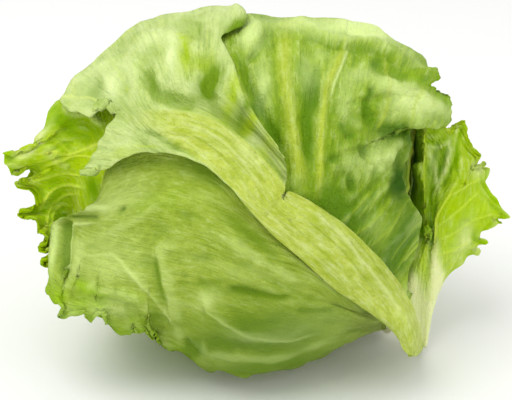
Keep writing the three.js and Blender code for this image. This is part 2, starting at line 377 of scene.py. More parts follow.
# an oval of colour, which may be a hollow or a swelling too
def drawOval(sheet, height, x, y, halfWidth, halfHeight, angle, colour, amount):
    turn = math.radians(angle)
    loose = drawn["ovalWander"] * min(halfWidth, halfHeight) ** 0.8
    offset = sheet["pixels"] + loose * sheet["wander"] - np.array([x, y])
    long = offset[..., 0] * math.cos(turn) - offset[..., 1] * math.sin(turn)
    short = offset[..., 0] * math.sin(turn) + offset[..., 1] * math.cos(turn)
    shape = np.exp(-(long / halfWidth) ** 2 - (short / halfHeight) ** 2) * seenShare(sheet)
    sheet["rise"] += height * shape
    addPaint(sheet, colour, amount * shape)


# fills or trims the outline: works on both sides of the horizon of the leaf
def swell(sheet, height, x, y, halfWidth, halfHeight):
    offset = (sheet["pixels"] - np.array([x, y])) / np.array([halfWidth, halfHeight])
    sheet["rise"] += height * np.exp(-np.sum(offset ** 2, -1))


# what is drawn over the photograph: ridges, steps, painted lines, dents and spots
def drawFeatures(sheet, leaf):
    for height, width, path in leaf.get("ridges", []):
        drawRidge(sheet, height, width, path)
    for height, sharpness, reach, path in leaf.get("steps", []):
        drawStep(sheet, height, sharpness, reach, path)
    for colour, lines in leaf.get("lines", {}).items():
        for height, width, amount, path in lines:
            drawRidge(sheet, height, width, path, colour, amount)
    for colour, dents in leaf.get("dents", {}).items():
        for height, x, y, halfWidth, halfHeight, angle, amount in dents:
            drawOval(sheet, height, x, y, halfWidth, halfHeight, angle, colour, amount)
    for colour, spots in leaf.get("spots", {}).items():
        for x, y, halfWidth, halfHeight, angle, amount in spots:
            drawOval(sheet, 0.0, x, y, halfWidth, halfHeight, angle, colour, amount)
    for place in leaf.get("swells", []):
        swell(sheet, *place)


# fine veins that fan out from a place of the photograph instead of following the midrib
def fanFlow(sheet, leaf, share=None):
    x, y, reach = leaf["fan"]
    offset = sheet["pixels"] - np.array([x, y])
    along = np.hypot(offset[..., 0], offset[..., 1]) * photoView["mmPerPixel"]
    turn = (np.arctan2(offset[..., 1], offset[..., 0]) - math.pi / 2) % (2 * math.pi)  # the cut points down
    fan = np.stack([along, (turn + math.pi / 2) * reach], -1)
    if share is None:
        sheet["flow"] = fan
        return
    # the two maps agree where they meet, on the side that faces the viewer
    farAway = 1000
    away = np.linalg.norm(sheet["pixels"] - np.array(leaf["flowMeeting"]), axis=-1)
    away = away + farAway * (sheet["toViewer"] < 0)
    meeting = np.unravel_index(np.argmin(away), away.shape)
    fan = fan + sheet["flow"][meeting] - fan[meeting]
    sheet["flow"] = sheet["flow"] + share[..., None] * (fan - sheet["flow"])


# a broad flat band with its own edges: path is x, y and half width in pixels
def bandShare(sheet, stations, softness):
    stations = smoothPath(stations)
    distance, side, travelled = lineDistance(sheet["pixels"], stations[:, :2])
    lengths = np.linalg.norm(np.diff(stations[:, :2], axis=0), axis=1)
    starts = np.concatenate([[0], np.cumsum(lengths)]) / lengths.sum()
    halfWidth = np.interp(travelled, starts, stations[:, 2])
    return easeBetween(halfWidth - distance, -softness / 2, softness / 2) * seenShare(sheet)


# long soft folds that follow the fine veins
def wrinkle(sheet, share, height, length, width, seed):
    places = sheet["flow"] / np.array([length, width])
    places = places + 0.5 * softNoise(sheet["points"] / 24.0, seed + 7)[..., None]
    sheet["rise"] += height * softNoise(places, seed) * share


# uneven surface of a soft blade: heights in mm at a few sizes
def crumple(sheet, share, seed, *sizes):
    for k, (height, size) in enumerate(sizes):
        sheet["rise"] += height * softNoise(sheet["points"] / size, seed + k) * share


# puckers between the finest veins, with the veins as their borders
def pucker(sheet, share, height, cellLength, cellWidth, seed, veinShare, slant=0.0):
    wobble, borderWidth = 0.35, 0.09
    x = (sheet["flow"][..., 0] + slant * sheet["flow"][..., 1]) / cellLength
    x = x + wobble * softNoise(sheet["points"] / 9.0, seed + 40)
    y = sheet["flow"][..., 1] / cellWidth + wobble * softNoise(sheet["points"] / 7.0, seed + 41)
    border = cellBorders(np.stack([x, y], -1), seed)
    sheet["rise"] += height * (np.sqrt(np.clip(border, 0, 1)) - 0.5) * share
    addPaint(sheet, "vein", veinShare * bell(border, borderWidth) * share)


# frills: the blade waves more and more towards its margin
def frill(sheet, share, height, length, reach, seed, fromEdge, lengthKey):
    nearEdge = easeBetween(reach - sheet[fromEdge], 0, reach)
    phase = 2 * math.pi * sheet[lengthKey] / length
    phase = phase + 2.4 * softNoise(sheet["points"] / (length * 1.6), seed)
    strength = 0.75 + 0.5 * softNoise(sheet["points"] / (length * 2.3), seed + 3)
    sheet["rise"] += height * np.sin(phase) * nearEdge ** 1.4 * strength * share
    sheet["paint"]["edge"] = np.maximum(sheet["paint"]["edge"], nearEdge ** 2 * share)


# teeth: the outermost strip of the blade is cut back and forth, at the tip or at one side
def teeth(sheet, share, depth, length, reach, seed, fromEdge, sideSign):
    toothLean, toothSlope, toothShift = 0.35, 1.6, 0.7
    nearEdge = easeBetween(reach - sheet[fromEdge], 0, reach)
    place = sheet["ribLength" if sideSign else "sideLength"] / length
    noise = softNoise(np.stack([place, np.full(place.shape, seed + 0.5)], -1), seed)
    saw = np.abs(((place + 0.3 * noise) % 1.0) - toothLean) * toothSlope
    size = depth * (noise * 0.8 + toothShift - saw)
    run = unit(np.gradient(sheet["points"], axis=1 if sideSign else 0))
    sheet["points"] = sheet["points"] + (sideSign or 1) * run * (size * nearEdge * share)[..., None]


# the small unevenness of a leaf: each entry starts with the part of the leaf that it covers
def finishSurface(sheet, leaf, parts):
    for key, shape in (("wrinkles", wrinkle), ("crumples", crumple), ("puckers", pucker),
                       ("frills", frill), ("teeth", teeth)):
        for part, *values in leaf.get(key, []):
            shape(sheet, parts[part] if part else 1.0, *values)


# painted shade and painted highlight: hollows are painted darker green and crests paler, like a waxy sheen
def paintReliefShadeAndSheen(sheet, hollowAmount, crestAmount, size=0.7):
    narrow, wide, dead, ribDamping = 2, 9, 0.05, 0.6
    relief = softened(sheet["rise"], narrow) - softened(sheet["rise"], wide)
    blade = 1 - ribDamping * sheet["paint"]["rib"]
    addPaint(sheet, "deep", hollowAmount * easeBetween(-relief, dead * size, size) * blade)
    addPaint(sheet, "pale", crestAmount * easeBetween(relief, dead * size, size) * blade)


# side veins leave the midrib at even steps and bend towards the tip
def sideVeins(sheet, veins, seed):
    reach = np.abs(sheet["sideLength"])
    for sign in (-1, 1):
        onSide = sheet["sideLength"] * sign > 0
        start = veins["first"] + (0 if sign > 0 else veins["spacing"] * veins["offset"])
        count = 0
        while start < sheet["ribLength"].max():
            wobble = softNoise(np.stack([reach / 16.0, np.full(reach.shape, float(count))], -1), seed + sign)
            bend = veins["wobble"] * wobble * easeBetween(reach, 2, 20)
            line = start + veins["slant"] * reach ** 0.9 + bend
            distance = np.abs(sheet["ribLength"] - line) / math.sqrt(1 + veins["slant"] ** 2)
            taper = 1 / (1 + reach / veins["taperLength"])
            shape = bell(distance, veins["width"] * (0.45 + 0.55 * taper)) * onSide
            sheet["rise"] += veins["height"] * taper * shape
            addPaint(sheet, "vein", veins["paint"] * taper * shape)
            start += veins["spacing"] * (0.85 + 0.3 * ((count * 37 + seed * 11) % 10) / 10)
            count += 1


# the midrib: half width at the base and at the tip, and its height
def midrib(sheet, height, baseWidth, tipWidth):
    width = baseWidth + (tipWidth - baseWidth) * easeBetween(sheet["along"], 0, 0.85)
    distance = np.abs(sheet["sideLength"]) / width
    sheet["rise"] += height * np.sqrt(np.clip(1 - distance ** 2, 0, 1)) * (1 - 0.75 * sheet["along"])
    sheet["paint"]["rib"] = np.maximum(sheet["paint"]["rib"], easeBetween(1.15 - distance, 0, 0.4))


def addPiece(name, mesh, material):
    mesh.shade_smooth()
    piece = bpy.data.objects.new(name, mesh)
    bpy.context.scene.collection.objects.link(piece)
    mesh.materials.append(material)
    return piece


def readFloats(items, key):
    values = np.zeros(len(items) * 3)
    items.foreach_get(key, values)
    return values.reshape(-1, 3)


# thin blade, thicker rib, and margins that run out to almost nothing
def addWall(piece, sheet, leaf, row, column):
    marginShare, marginStart, marginEnd, ribTaper = 0.6, -1.5, 2.5, 0.9
    group = piece.vertex_groups.new(name="thickness")
    thin = leaf["thickness"] / leaf["ribThickness"]
    shares = np.clip(thin + (1 - thin) * sheet["paint"]["rib"] * (1 - ribTaper * sheet["along"]), thin, 1)
    shares = np.round(shares * easeBetween(sheet["fromSides"], marginStart, marginEnd), 2)
    for level in np.unique(shares):
        members = np.nonzero(shares[row, column] == level)[0]
        group.add([int(member) for member in members], float(level), "REPLACE")
    wall = piece.modifiers.new("wall", "SOLIDIFY")
    wall.thickness = leaf["ribThickness"] * metresPerMm
    wall.vertex_group = group.name
    wall.thickness_vertex_group = thin * marginShare
    wall.offset = -1


# the lattice becomes a grid mesh, with its map and its painted shares
def sheetObject(name, sheet, material, leaf):
    rows, columns = sheet["rise"].shape
    points = sheet["points"] + sheet["facing"] * sheet["rise"][..., None]
    points[..., 2] = np.maximum(points[..., 2], leaf["floor"])
    grid = bmesh.new()
    bmesh.ops.create_grid(grid, x_segments=rows - 1, y_segments=columns - 1, size=1.0)
    mesh = bpy.data.meshes.new(name)
    grid.to_mesh(mesh)
    grid.free()
    spots = readFloats(mesh.vertices, "co")
    row = np.rint((spots[:, 0] + 1) / 2 * (rows - 1)).astype(int)
    column = np.rint((spots[:, 1] + 1) / 2 * (columns - 1)).astype(int)
    mesh.vertices.foreach_set("co", (points[row, column] * metresPerMm).ravel())
    mesh.update()
    outward = readFloats(mesh.polygons, "center") - headCentre * metresPerMm
    if leaf.get("standing"):
        outward = tiltToward[None, :]
    if np.mean(np.sum(readFloats(mesh.polygons, "normal") * outward, -1)) < 0:
        mesh.flip_normals()
    corners = np.zeros(len(mesh.loops), np.int32)
    mesh.loops.foreach_get("vertex_index", corners)
    leafMap = mesh.uv_layers.new(name="leafMap")
    mapPlaces = sheet["flow"][row, column] * metresPerMm
    leafMap.data.foreach_set("uv", mapPlaces[corners].astype(np.float32).ravel())
    for paintName, share in sheet["paint"].items():
        attribute = mesh.attributes.new(paintName, "FLOAT", "POINT")
        attribute.data.foreach_set("value", share[row, column].astype(np.float32))
    piece = addPiece(name, mesh, material)
    addWall(piece, sheet, leaf, row, column)
    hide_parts(leaf["node"])
    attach(piece, "root")


# colours are written as they look and turned into light values
def lightValues(colour, tone=1.0):
    return tuple(tone * ((c + 0.055) / 1.055) ** 2.4 if c > 0.04045 else c / 12.92 for c in colour) + (1.0,)


# nodes are laid out in columns, in the order in which they are made
def addNode(tree, kind, **settings):
    columnHeight, columnStep, rowStep = 8, 220, 260
    node = tree.nodes.new(kind)
    count = len(tree.nodes)
    node.location = (count // columnHeight * columnStep - 2400, 900 - count % columnHeight * rowStep)
    for key, value in settings.items():
        setattr(node, key, value)
    return node


# fills sockets with numbers and colours, or links them to what another node gives
def fill(tree, sockets, values):
    for socket, value in zip(sockets, values):
        if isinstance(value, bpy.types.NodeSocket):
            tree.links.new(value, socket)
        else:
            socket.default_value = value


def mixColours(tree, factor, first, second):
    mix = addNode(tree, "ShaderNodeMix", data_type="RGBA", blend_type="MIX")
    fill(tree, (mix.inputs[0], mix.inputs[6], mix.inputs[7]), (factor, first, second))
    return mix.outputs[2]


def mathNode(tree, operation, first, second):
    node = addNode(tree, "ShaderNodeMath", operation=operation)
    fill(tree, node.inputs, (first, second))
    return node.outputs[0]


def rangeNode(tree, value, fromLow, fromHigh, toLow=0.0, toHigh=1.0):
    node = addNode(tree, "ShaderNodeMapRange", clamp=True)
    fill(tree, node.inputs, (value, fromLow, fromHigh, toLow, toHigh))
    return node.outputs[0]


def noiseNode(tree, vector, scale, detail, roughness):
    node = addNode(tree, "ShaderNodeTexNoise")
    sockets = [node.inputs[key] for key in ("Vector", "Scale", "Detail", "Roughness")]
    fill(tree, sockets, (vector, scale, detail, roughness))
    return node.outputs[0]


def scaledPlace(tree, place, along, across):
    node = addNode(tree, "ShaderNodeMapping")
    node.inputs["Scale"].default_value = (along, across, 1.0)
    tree.links.new(place, node.inputs["Vector"])
    return node.outputs[0]


def bumpNormal(tree, height, strength, distance):
    bump = addNode(tree, "ShaderNodeBump")
    fill(tree, [bump.inputs[key] for key in ("Height", "Strength", "Distance")], (height, strength, distance))
    return bump.outputs[0]


def newMaterial(name):
    material = bpy.data.materials.new(name)
    material.use_nodes = True
    return material, material.node_tree, material.node_tree.nodes["Principled BSDF"]


# waxy leaf tissue: blade, ribs, veins, darker and paler parts with painted shade and painted highlights,
# painted glow of light through the leaf, streaks along the leaf and fine cells
def leafMaterial(name, look):
    material, tree, shader = newMaterial(name)
    solidPlace = addNode(tree, "ShaderNodeTexCoord").outputs["Object"]
    leafPlace = addNode(tree, "ShaderNodeUVMap", uv_map="leafMap").outputs[0]
    shares = {}
    for key in paintNames:
        shares[key] = addNode(tree, "ShaderNodeAttribute", attribute_name=key).outputs["Fac"]
    streakAlong, streakAcross = look["streaksPerMetre"]
    broadAlong, broadAcross = look["broadShares"]
    speckleAlong, speckleAcross = look["specklesPerMetre"]
    mottle = noiseNode(tree, solidPlace, look["mottleScale"], 5.0, 0.65)
    patches = noiseNode(tree, solidPlace, look["patchScale"], 3.0, 0.6)
    streaks = noiseNode(tree, scaledPlace(tree, leafPlace, streakAlong, streakAcross), 1.0, 4.0, 0.6)
    broadPlace = scaledPlace(tree, leafPlace, streakAlong * broadAlong, streakAcross * broadAcross)
    broadStreaks = noiseNode(tree, broadPlace, 1.0, 3.0, 0.6)
    speckle = noiseNode(tree, scaledPlace(tree, leafPlace, speckleAlong, speckleAcross), 1.0, 4.0, 0.7)
    grain = noiseNode(tree, solidPlace, look["grainScale"], 2.0, 0.5)
    wax = noiseNode(tree, solidPlace, look["waxScale"], 3.0, 0.6)
    breakUp = rangeNode(tree, noiseNode(tree, solidPlace, look["breakScale"], 3.0, 0.55), 0.38, 0.62, 0.15)
    cells = addNode(tree, "ShaderNodeTexVoronoi", feature="DISTANCE_TO_EDGE")
    tree.links.new(leafPlace, cells.inputs["Vector"])
    cells.inputs["Scale"].default_value = look["cellScale"]
    cellVeins = rangeNode(tree, cells.outputs["Distance"], 0.0, 0.09, 1.0, 0.0)

    def tint(key):
        return lightValues(look[key], look["tone"])

    # each layer: a pattern, where it starts and is full, how much of it, its colour, and what breaks it up
    def layered(colour, layers):
        for pattern, start, full, amount, key, *breaks in layers:
            share = rangeNode(tree, pattern, start, full, 0.0, look[amount])
            for part in breaks:
                share = mathNode(tree, "MULTIPLY", share, part)
            colour = mixColours(tree, share, colour, tint(key))
        return colour

    colour = mixColours(tree, rangeNode(tree, mottle, 0.34, 0.66), tint("blade"), tint("bladeOther"))
    colour = layered(colour, [
        (patches, 0.52, 0.72, "patchAmount", "deep"),
        (broadStreaks, 0.5, 0.72, "broadAmount", "pale"), (broadStreaks, 0.48, 0.3, "broadAmount", "deep"),
        (streaks, 0.47, 0.66, "streakAmount", "vein", breakUp),
        (streaks, 0.5, 0.34, "streakAmount", "deep", breakUp),
        (speckle, 0.52, 0.7, "speckleAmount", "pale"), (speckle, 0.48, 0.3, "speckleAmount", "deep"),
    ])
    colour = mixColours(tree, mathNode(tree, "MULTIPLY", cellVeins, look["cellAmount"]), colour, tint("vein"))
    # over the blade: margin colour, painted glow of light through the leaf, darker green with painted shade,
    # pale tissue with painted highlights, veins, and painted shade in hollows
    for key in ("edge", "glow", "deep", "pale", "vein", "dark"):
        colour = mixColours(tree, shares[key], colour, lightValues(look[key]))
    ribColour = mixColours(tree, rangeNode(tree, mottle, 0.36, 0.64), tint("rib"), tint("ribOther"))
    ribColour = layered(ribColour, [
        (streaks, 0.5, 0.7, "ribStreaks", "pale"), (patches, 0.5, 0.7, "ribStreaks", "ribDeep"),
        (speckle, 0.5, 0.7, "speckleAmount", "pale"), (speckle, 0.5, 0.3, "speckleAmount", "ribDeep"),
    ])
    # the rib takes the painted shade and painted highlights too
    for key, amount, tintKey in (("deep", 0.55, "ribDeep"), ("pale", 0.6, "ribPale")):
        share = mathNode(tree, "MULTIPLY", shares[key], amount)
        ribColour = mixColours(tree, share, ribColour, tint(tintKey))
    colour = mixColours(tree, shares["rib"], colour, ribColour)
    tree.links.new(colour, shader.inputs["Base Color"])

    height = mathNode(tree, "MULTIPLY", streaks, look["streakBump"])
    for pattern, amount in ((cellVeins, "cellBump"), (speckle, "grainBump"), (grain, "grainBump")):
        height = mathNode(tree, "ADD", height, mathNode(tree, "MULTIPLY", pattern, look[amount]))
    tree.links.new(bumpNormal(tree, height, look["bumpStrength"], metresPerMm), shader.inputs["Normal"])
    roughness = rangeNode(tree, wax, 0.3, 0.7, look["roughLow"], look["roughHigh"])
    tree.links.new(roughness, shader.inputs["Roughness"])
    shader.inputs["Specular IOR Level"].default_value = look["gloss"]
    softGlow(shader, look["softness"], look["softRadius"])
    return material


# light that goes a little way into the tissue: radius in mm
def softGlow(shader, weight, radius):
    shader.inputs["Subsurface Weight"].default_value = weight
    shader.inputs["Subsurface Radius"].default_value = radius
    shader.inputs["Subsurface Scale"].default_value = metresPerMm


# colours as they look, patterns per metre, and how strong each pattern is; the darkest colour paints shade,
# the darker green colours of blade and rib also paint shade, the pale colours of blade and rib also paint
# highlights and sheen, and glow paints light shining through the leaf
basicLook = {
    "blade": (0.74, 0.84, 0.42), "bladeOther": (0.82, 0.90, 0.56), "tone": 0.9,
    "deep": (0.46, 0.60, 0.04), "dark": (0.20, 0.36, 0.0), "pale": (0.89, 0.95, 0.66),
    "glow": (0.70, 0.81, 0.10), "edge": (0.60, 0.73, 0.08), "vein": (0.86, 0.92, 0.50),
    "rib": (0.74, 0.81, 0.24),
    "ribOther": (0.82, 0.88, 0.38), "ribDeep": (0.60, 0.70, 0.06), "ribPale": (0.90, 0.95, 0.62),
    "ribStreaks": 0.45, "mottleScale": 130.0, "patchScale": 30.0, "patchAmount": 0.25,
    "specklesPerMetre": (147.0, 420.0), "speckleAmount": 0.55, "streaksPerMetre": (70.0, 900.0),
    "streakAmount": 0.42, "broadShares": (0.7, 0.2), "broadAmount": 0.22, "breakScale": 45.0,
    "cellScale": 300.0, "cellAmount": 0.12, "streakBump": 1.0, "cellBump": 0.15, "grainScale": 900.0,
    "grainBump": 0.5, "bumpStrength": 1.0, "waxScale": 90.0, "roughLow": 0.45, "roughHigh": 0.62,
    "gloss": 0.2, "softness": 0.15, "softRadius": (1.0, 1.3, 0.3),
}
lowerLook = {
    **basicLook, "blade": (0.60, 0.70, 0.16), "bladeOther": (0.69, 0.78, 0.26), "deep": (0.43, 0.56, 0.02),
    "edge": (0.55, 0.70, 0.08), "vein": (0.74, 0.82, 0.36), "pale": (0.83, 0.91, 0.54),
    "glow": (0.62, 0.78, 0.02), "streaksPerMetre": (60.0, 1000.0), "streakAmount": 0.4,
}
upperLook = {
    **basicLook, "blade": (0.51, 0.65, 0.04), "bladeOther": (0.60, 0.74, 0.11), "deep": (0.37, 0.53, 0.0),
    "rib": (0.72, 0.79, 0.12), "ribOther": (0.79, 0.86, 0.26), "pale": (0.85, 0.93, 0.58),
    "vein": (0.74, 0.83, 0.26), "edge": (0.56, 0.72, 0.02), "patchAmount": 0.5, "streakAmount": 0.6,
    "gloss": 0.14,
}
flaredLook = {
    **basicLook, "blade": (0.67, 0.80, 0.0), "bladeOther": (0.73, 0.85, 0.04), "deep": (0.52, 0.68, 0.0),
    "glow": (0.74, 0.86, 0.0), "edge": (0.62, 0.77, 0.01), "vein": (0.84, 0.93, 0.30),
    "pale": (0.94, 0.98, 0.70), "dark": (0.24, 0.46, 0.0), "gloss": 0.04, "streakAmount": 0.2,
    "cellScale": 220.0, "cellAmount": 0.25,
    "softness": 0.4, "softRadius": (2.2, 2.6, 0.4),
}
hiddenLook = {**upperLook, "blade": (0.60, 0.72, 0.22)}
heartTissue = {
    **basicLook, "blade": (0.72, 0.82, 0.30), "bladeOther": (0.80, 0.88, 0.42), "deep": (0.52, 0.66, 0.08),
    "streakAmount": 0.6, "broadAmount": 0.5,
}

print("materials and tools ready")


# outermost leaf: broad pale midrib across the front, blade wrapped over the top left
frontLeaf = {
    "node": "front_leaf", "turn": 0, "layer": 0, "floor": 0.8, "lattice": (240, 120),
    "thickness": 0.8, "ribThickness": 2.4, "tint": (0.35, 0.3), "tipReach": 0.16, "behind": (0.72, 0.9),
    "ribEnd": 0.43, "ribEase": 0.05, "ribHeight": 3.4, "ribSink": 0.6, "ribRounding": 0.08,
    "ribTopStart": (0.03, 0.12), "bandStart": (120, 185), "bandRise": (0.40, 0.50), "bandHeight": 1.0,
    "bandSoftness": 4.2, "flowMeeting": (164, 122), "flowBlend": 34, "fan": (198, 170, 45.0),
    "edgePaint": 0.4,
    "wrinkles": [("blade", 1.0, 70.0, 8.0, 11), ("blade", 0.35, 40.0, 3.0, 12),
                 ("ribTop", 0.35, 60.0, 3.0, 13)],
    "crumples": [("blade", 3, (0.8, 24.0), (0.3, 9.0), (0.22, 4.5), (0.12, 2.6)),
                 ("ribTop", 9, (0.8, 22.0), (0.35, 8.0), (0.16, 4.0), (0.08, 2.4))],
    "frills": [("margin", 1.8, 8.0, 9.0, 4, "fromTip", "sideLength")],
    "teeth": [("behind", 2.2, 9.0, 6.0, 8, "fromTip", 0)],
    "tipEdge": [
        (-1, 82, 170, 1), (-0.93, 84, 176, 1), (-0.85, 91, 175, 1), (-0.78, 83, 167, 1),
        (-0.7, 88, 161, 1), (-0.5, 97, 150, 0.5), (-0.3, 104, 136, 0.5), (-0.1, 112, 122, 0),
        (0, 118, 112, 0), (0.06, 110, 113, 0), (0.1, 105, 107, 0.5), (0.15, 100, 103, 1),
        (0.2, 96, 106, 1.5), (0.25, 93, 112, 1.5), (0.29, 91, 119, 1.5), (0.33, 86, 116, 1.5),
        (0.38, 79, 112, 2), (0.44, 71, 112, 2.5), (0.49, 65, 107, 3), (0.54, 60, 100, 3.5),
        (0.62, 65, 91, 3), (0.7, 68, 84, 3),
    ],
    "rails": [
        (-1, [(0, 410, 355, 20), (0.012, 404, 351, 18), (0.03, 399, 342, 15), (0.07, 384, 327, 8),
              (0.12, 361, 310, 3), (0.2, 335, 291, 1), (0.28, 303, 262), (0.36, 268, 231),
              (0.42, 246, 206), (0.48, 229, 186, 1), (0.53, 209, 168, 2), (0.6, 193, 158, 3),
              (0.66, 170, 151, 3.5), (0.73, 145, 151, 3), (0.8, 122, 159, 2.5), (0.87, 104, 169, 1.5),
              (0.94, 90, 173, 0.5), (1, 80, 177, 0.5)]),
        (-0.5, [(0, 412, 356, 20.5), (0.03, 406, 342, 17), (0.12, 381, 306, 6), (0.28, 330, 248, 1),
                (0.42, 270, 206), (0.48, 246, 180), (0.56, 212, 154, 0.5), (0.66, 178, 139, 1),
                (0.76, 148, 137, 1), (0.88, 122, 142, 0.5), (1, 98, 148)]),
        (0, [(0, 414, 356, 21), (0.012, 413, 353, 20), (0.03, 412, 341, 18), (0.12, 394, 300, 7),
             (0.22, 360, 262, 2), (0.33, 318, 225, 1), (0.42, 280, 204, 0.5), (0.48, 262, 176, 0.5),
             (0.56, 231, 145), (0.66, 200, 128), (0.76, 168, 119), (0.88, 142, 114), (1, 118, 112, 0)]),
        (0.4, [(0, 416, 356, 20.5), (0.03, 418, 341, 17), (0.12, 403, 296, 6), (0.22, 370, 254, 2),
               (0.33, 325, 217, 1), (0.42, 284, 198), (0.48, 274, 168), (0.56, 250, 130, -0.5),
               (0.66, 212, 88), (0.76, 168, 76), (0.88, 124, 82), (1, 78, 110, 1.5)]),
        (1, [(0, 418, 355, 20), (0.012, 423, 350, 18), (0.03, 423, 338, 15), (0.07, 416, 314, 9),
             (0.12, 403, 287, 5), (0.2, 379, 258, 2), (0.28, 346, 224), (0.36, 305, 197),
             (0.395, 288, 191, -0.5), (0.42, 283, 197, -1), (0.45, 286, 182, 0.5), (0.5, 285, 163, 1.5),
             (0.56, 273, 140, 2), (0.62, 255, 114, 2), (0.68, 242, 90, 2), (0.73, 234, 63, 2),
             (0.77, 226, 47, 1.5), (0.8, 221, 36, 1.5), (0.84, 231, 27, 2), (0.88, 246, 15, 2.5),
             turned(0.93, 172, 49, -1), turned(1, 196, 40, -3)]),
    ],
    "band": [
        (112, 122, 3), (128, 119, 5), (150, 119, 9), (173, 125, 15), (206, 138, 20), (232, 158, 22),
        (254, 180, 22), (272, 204, 22), (300, 228, 24), (345, 262, 28), (392, 312, 24), (418, 352, 20),
    ],
    "ridges": [
        (-1.1, 2.2, [(140, 131), (155, 134), (168, 141), (186, 149), (203, 160)]),
        (0.9, 3, [(150, 128), (170, 137), (190, 145), (206, 156)]),
        (1, 3, [(150, 109), (178, 110), (204, 113), (230, 123), (252, 139), (272, 159), (283, 175)]),
        (-2.6, 7, [(199, 40), (205, 66), (208, 88), (216, 106), (236, 122), (256, 140)]),
        (1.6, 6, [(226, 46), (233, 76), (243, 104), (262, 132), (278, 158), (284, 184)]),
        (-0.9, 2.4, [(283, 197), (276, 204), (270, 212), (264, 219)]),
        (1.8, 5, [(126, 39), (144, 35), (162, 32), (180, 34), (192, 44), (202, 57)]),
        (-1.4, 6, [(150, 26), (176, 24), (200, 34), (212, 48)]),
        (1.6, 6, [(165, 32), (170, 50), (174, 72), (176, 92)]),
        (-2.2, 7, [(144, 66), (148, 82), (160, 94), (180, 100), (196, 98)]),
        (-1.2, 4, [(184, 40), (190, 60), (194, 84)]),
        (1.5, 6, [(96, 62), (108, 80), (120, 98), (142, 110)]),
        (-1.8, 6, [(84, 76), (94, 90), (102, 104)]),
        (1, 3.5, [(127, 44), (134, 60), (136, 84), (130, 104)]),
        (-1, 3.5, [(112, 56), (120, 72), (128, 90)]), (-2.2, 3, [(226, 34), (234, 27), (246, 17)]),
        (1.8, 3.6, [(214, 27), (228, 17), (240, 5)]), (-1, 4, [(188, 14), (204, 20), (216, 30)]),
        (1, 3, [(180, 18), (200, 24), (212, 36)]), (0.8, 3, [(72, 86), (84, 84), (96, 92)]),
        (-0.8, 4, [(110, 140), (128, 138), (150, 142)]),
    ],
    "lines": {
        # pale streaks along the rib, with painted highlight along its lit right side
        "pale": [(0.5, 1.6, 0.9, [(312, 212), (336, 232), (362, 262), (388, 296), (404, 324)]),
                 (0.4, 1.2, 0.8, [(330, 222), (350, 246), (364, 272)]),
                 (0.3, 1.3, 0.6, [(268, 212), (292, 238), (320, 260), (350, 286)]),
                 (0.5, 1.5, 0.7, [(186, 122), (212, 134), (234, 152), (250, 172), (262, 192)]),
                 (0.4, 1.4, 0.5, [(222, 126), (240, 142), (256, 162), (268, 184)])],
        "deep": [(-0.3, 1.2, 0.7, [(300, 214), (330, 240), (352, 262), (376, 294)]),
                 (-0.3, 1.4, 0.6, [(282, 214), (304, 236), (330, 258), (356, 284)]),
                 (-0.3, 1.2, 0.6, [(348, 232), (372, 262), (390, 292)]),
                 (-0.3, 1.5, 0.7, [(176, 128), (204, 142), (228, 162), (248, 186)]),
                 (-0.3, 1.2, 0.5, [(196, 122), (220, 134), (244, 156)])],
        "vein": [(0.4, 1.3, 0.7, [(58, 97), (68, 96), (78, 98), (90, 97), (102, 103), (110, 108)]),
                 (0.4, 1.3, 0.5, [(73, 80), (72, 90), (70, 98)])],
        "glow": [(0.4, 1.3, 0.6, [(116, 152), (130, 147), (146, 145), (160, 146)]),
                 (0.4, 1.3, 0.5, [(110, 58), (118, 72), (124, 84), (132, 98)]),
                 (0.4, 1.2, 0.7, [(176, 26), (182, 40), (188, 58)])],
    },
    "dents": {
        # swellings painted paler are painted highlight on their tops, hollows painted darker are painted
        # shade, and the glowing hollow is painted light through the leaf
        "pale": [(0.5, 80, 84, 24, 14, -40, 0.2), (1.6, 164, 14, 30, 14, 12, 0.2),
                 (0.8, 240, 7, 7, 7, 0, 0.2)],
        "deep": [(-1, 148, 80, 5, 11, 10, 0.5), (-1, 166, 92, 18, 10, -10, 0.35),
                 (-1, 212, 74, 16, 9, 50, 1), (-0.8, 202, 88, 9, 12, 0, 0.9),
                 (-0.8, 94, 84, 8, 12, -20, 0.45)],
        "glow": [(-0.6, 204, 62, 10, 10, 30, 0.8)],
    },
    "spots": {
        "glow": [(184, 52, 8, 22, -10, 0.8), (250, 124, 8, 30, -38, 1), (264, 152, 9, 22, -35, 0.8),
                 (232, 90, 6, 30, -16, 0.6), (206, 118, 40, 7, -16, 0.5), (196, 134, 34, 9, -20, 0.3),
                 (236, 96, 8, 26, -20, 0.5), (126, 152, 18, 5, 15, 0.5), (378, 300, 46, 16, -45, 0.25),
                 (276, 176, 6, 18, -10, 0.5)],
        # pale patches, with painted highlight on ridges and swellings
        "pale": [(150, 40, 26, 9, 25, 0.5), (92, 74, 24, 12, 40, 0.3), (124, 140, 22, 16, 10, 0.35),
                 (246, 152, 10, 16, 40, 0.5), (92, 165, 10, 6, 25, 0.4), (170, 54, 6, 22, -10, 0.7),
                 (112, 88, 10, 26, -42, 0.6), (226, 44, 8, 10, 0, 0.3)],
        # darker green patches, with painted shade in the fold under the crown and beside the rolled margin
        "deep": [(100, 105, 6, 6, 0, 1), (98, 88, 7, 14, -30, 0.6), (222, 142, 20, 8, -30, 0.5),
                 (246, 100, 9, 30, -22, 0.5), (248, 106, 6, 22, -24, 0.6), (236, 24, 14, 6, 40, 1),
                 (226, 36, 8, 12, 0, 0.5), (110, 108, 6, 3, -10, 0.6)],
    },
    "swells": [(1.2, 205, 12, 26, 12), (-1.6, 122, 42, 22, 16)],
}


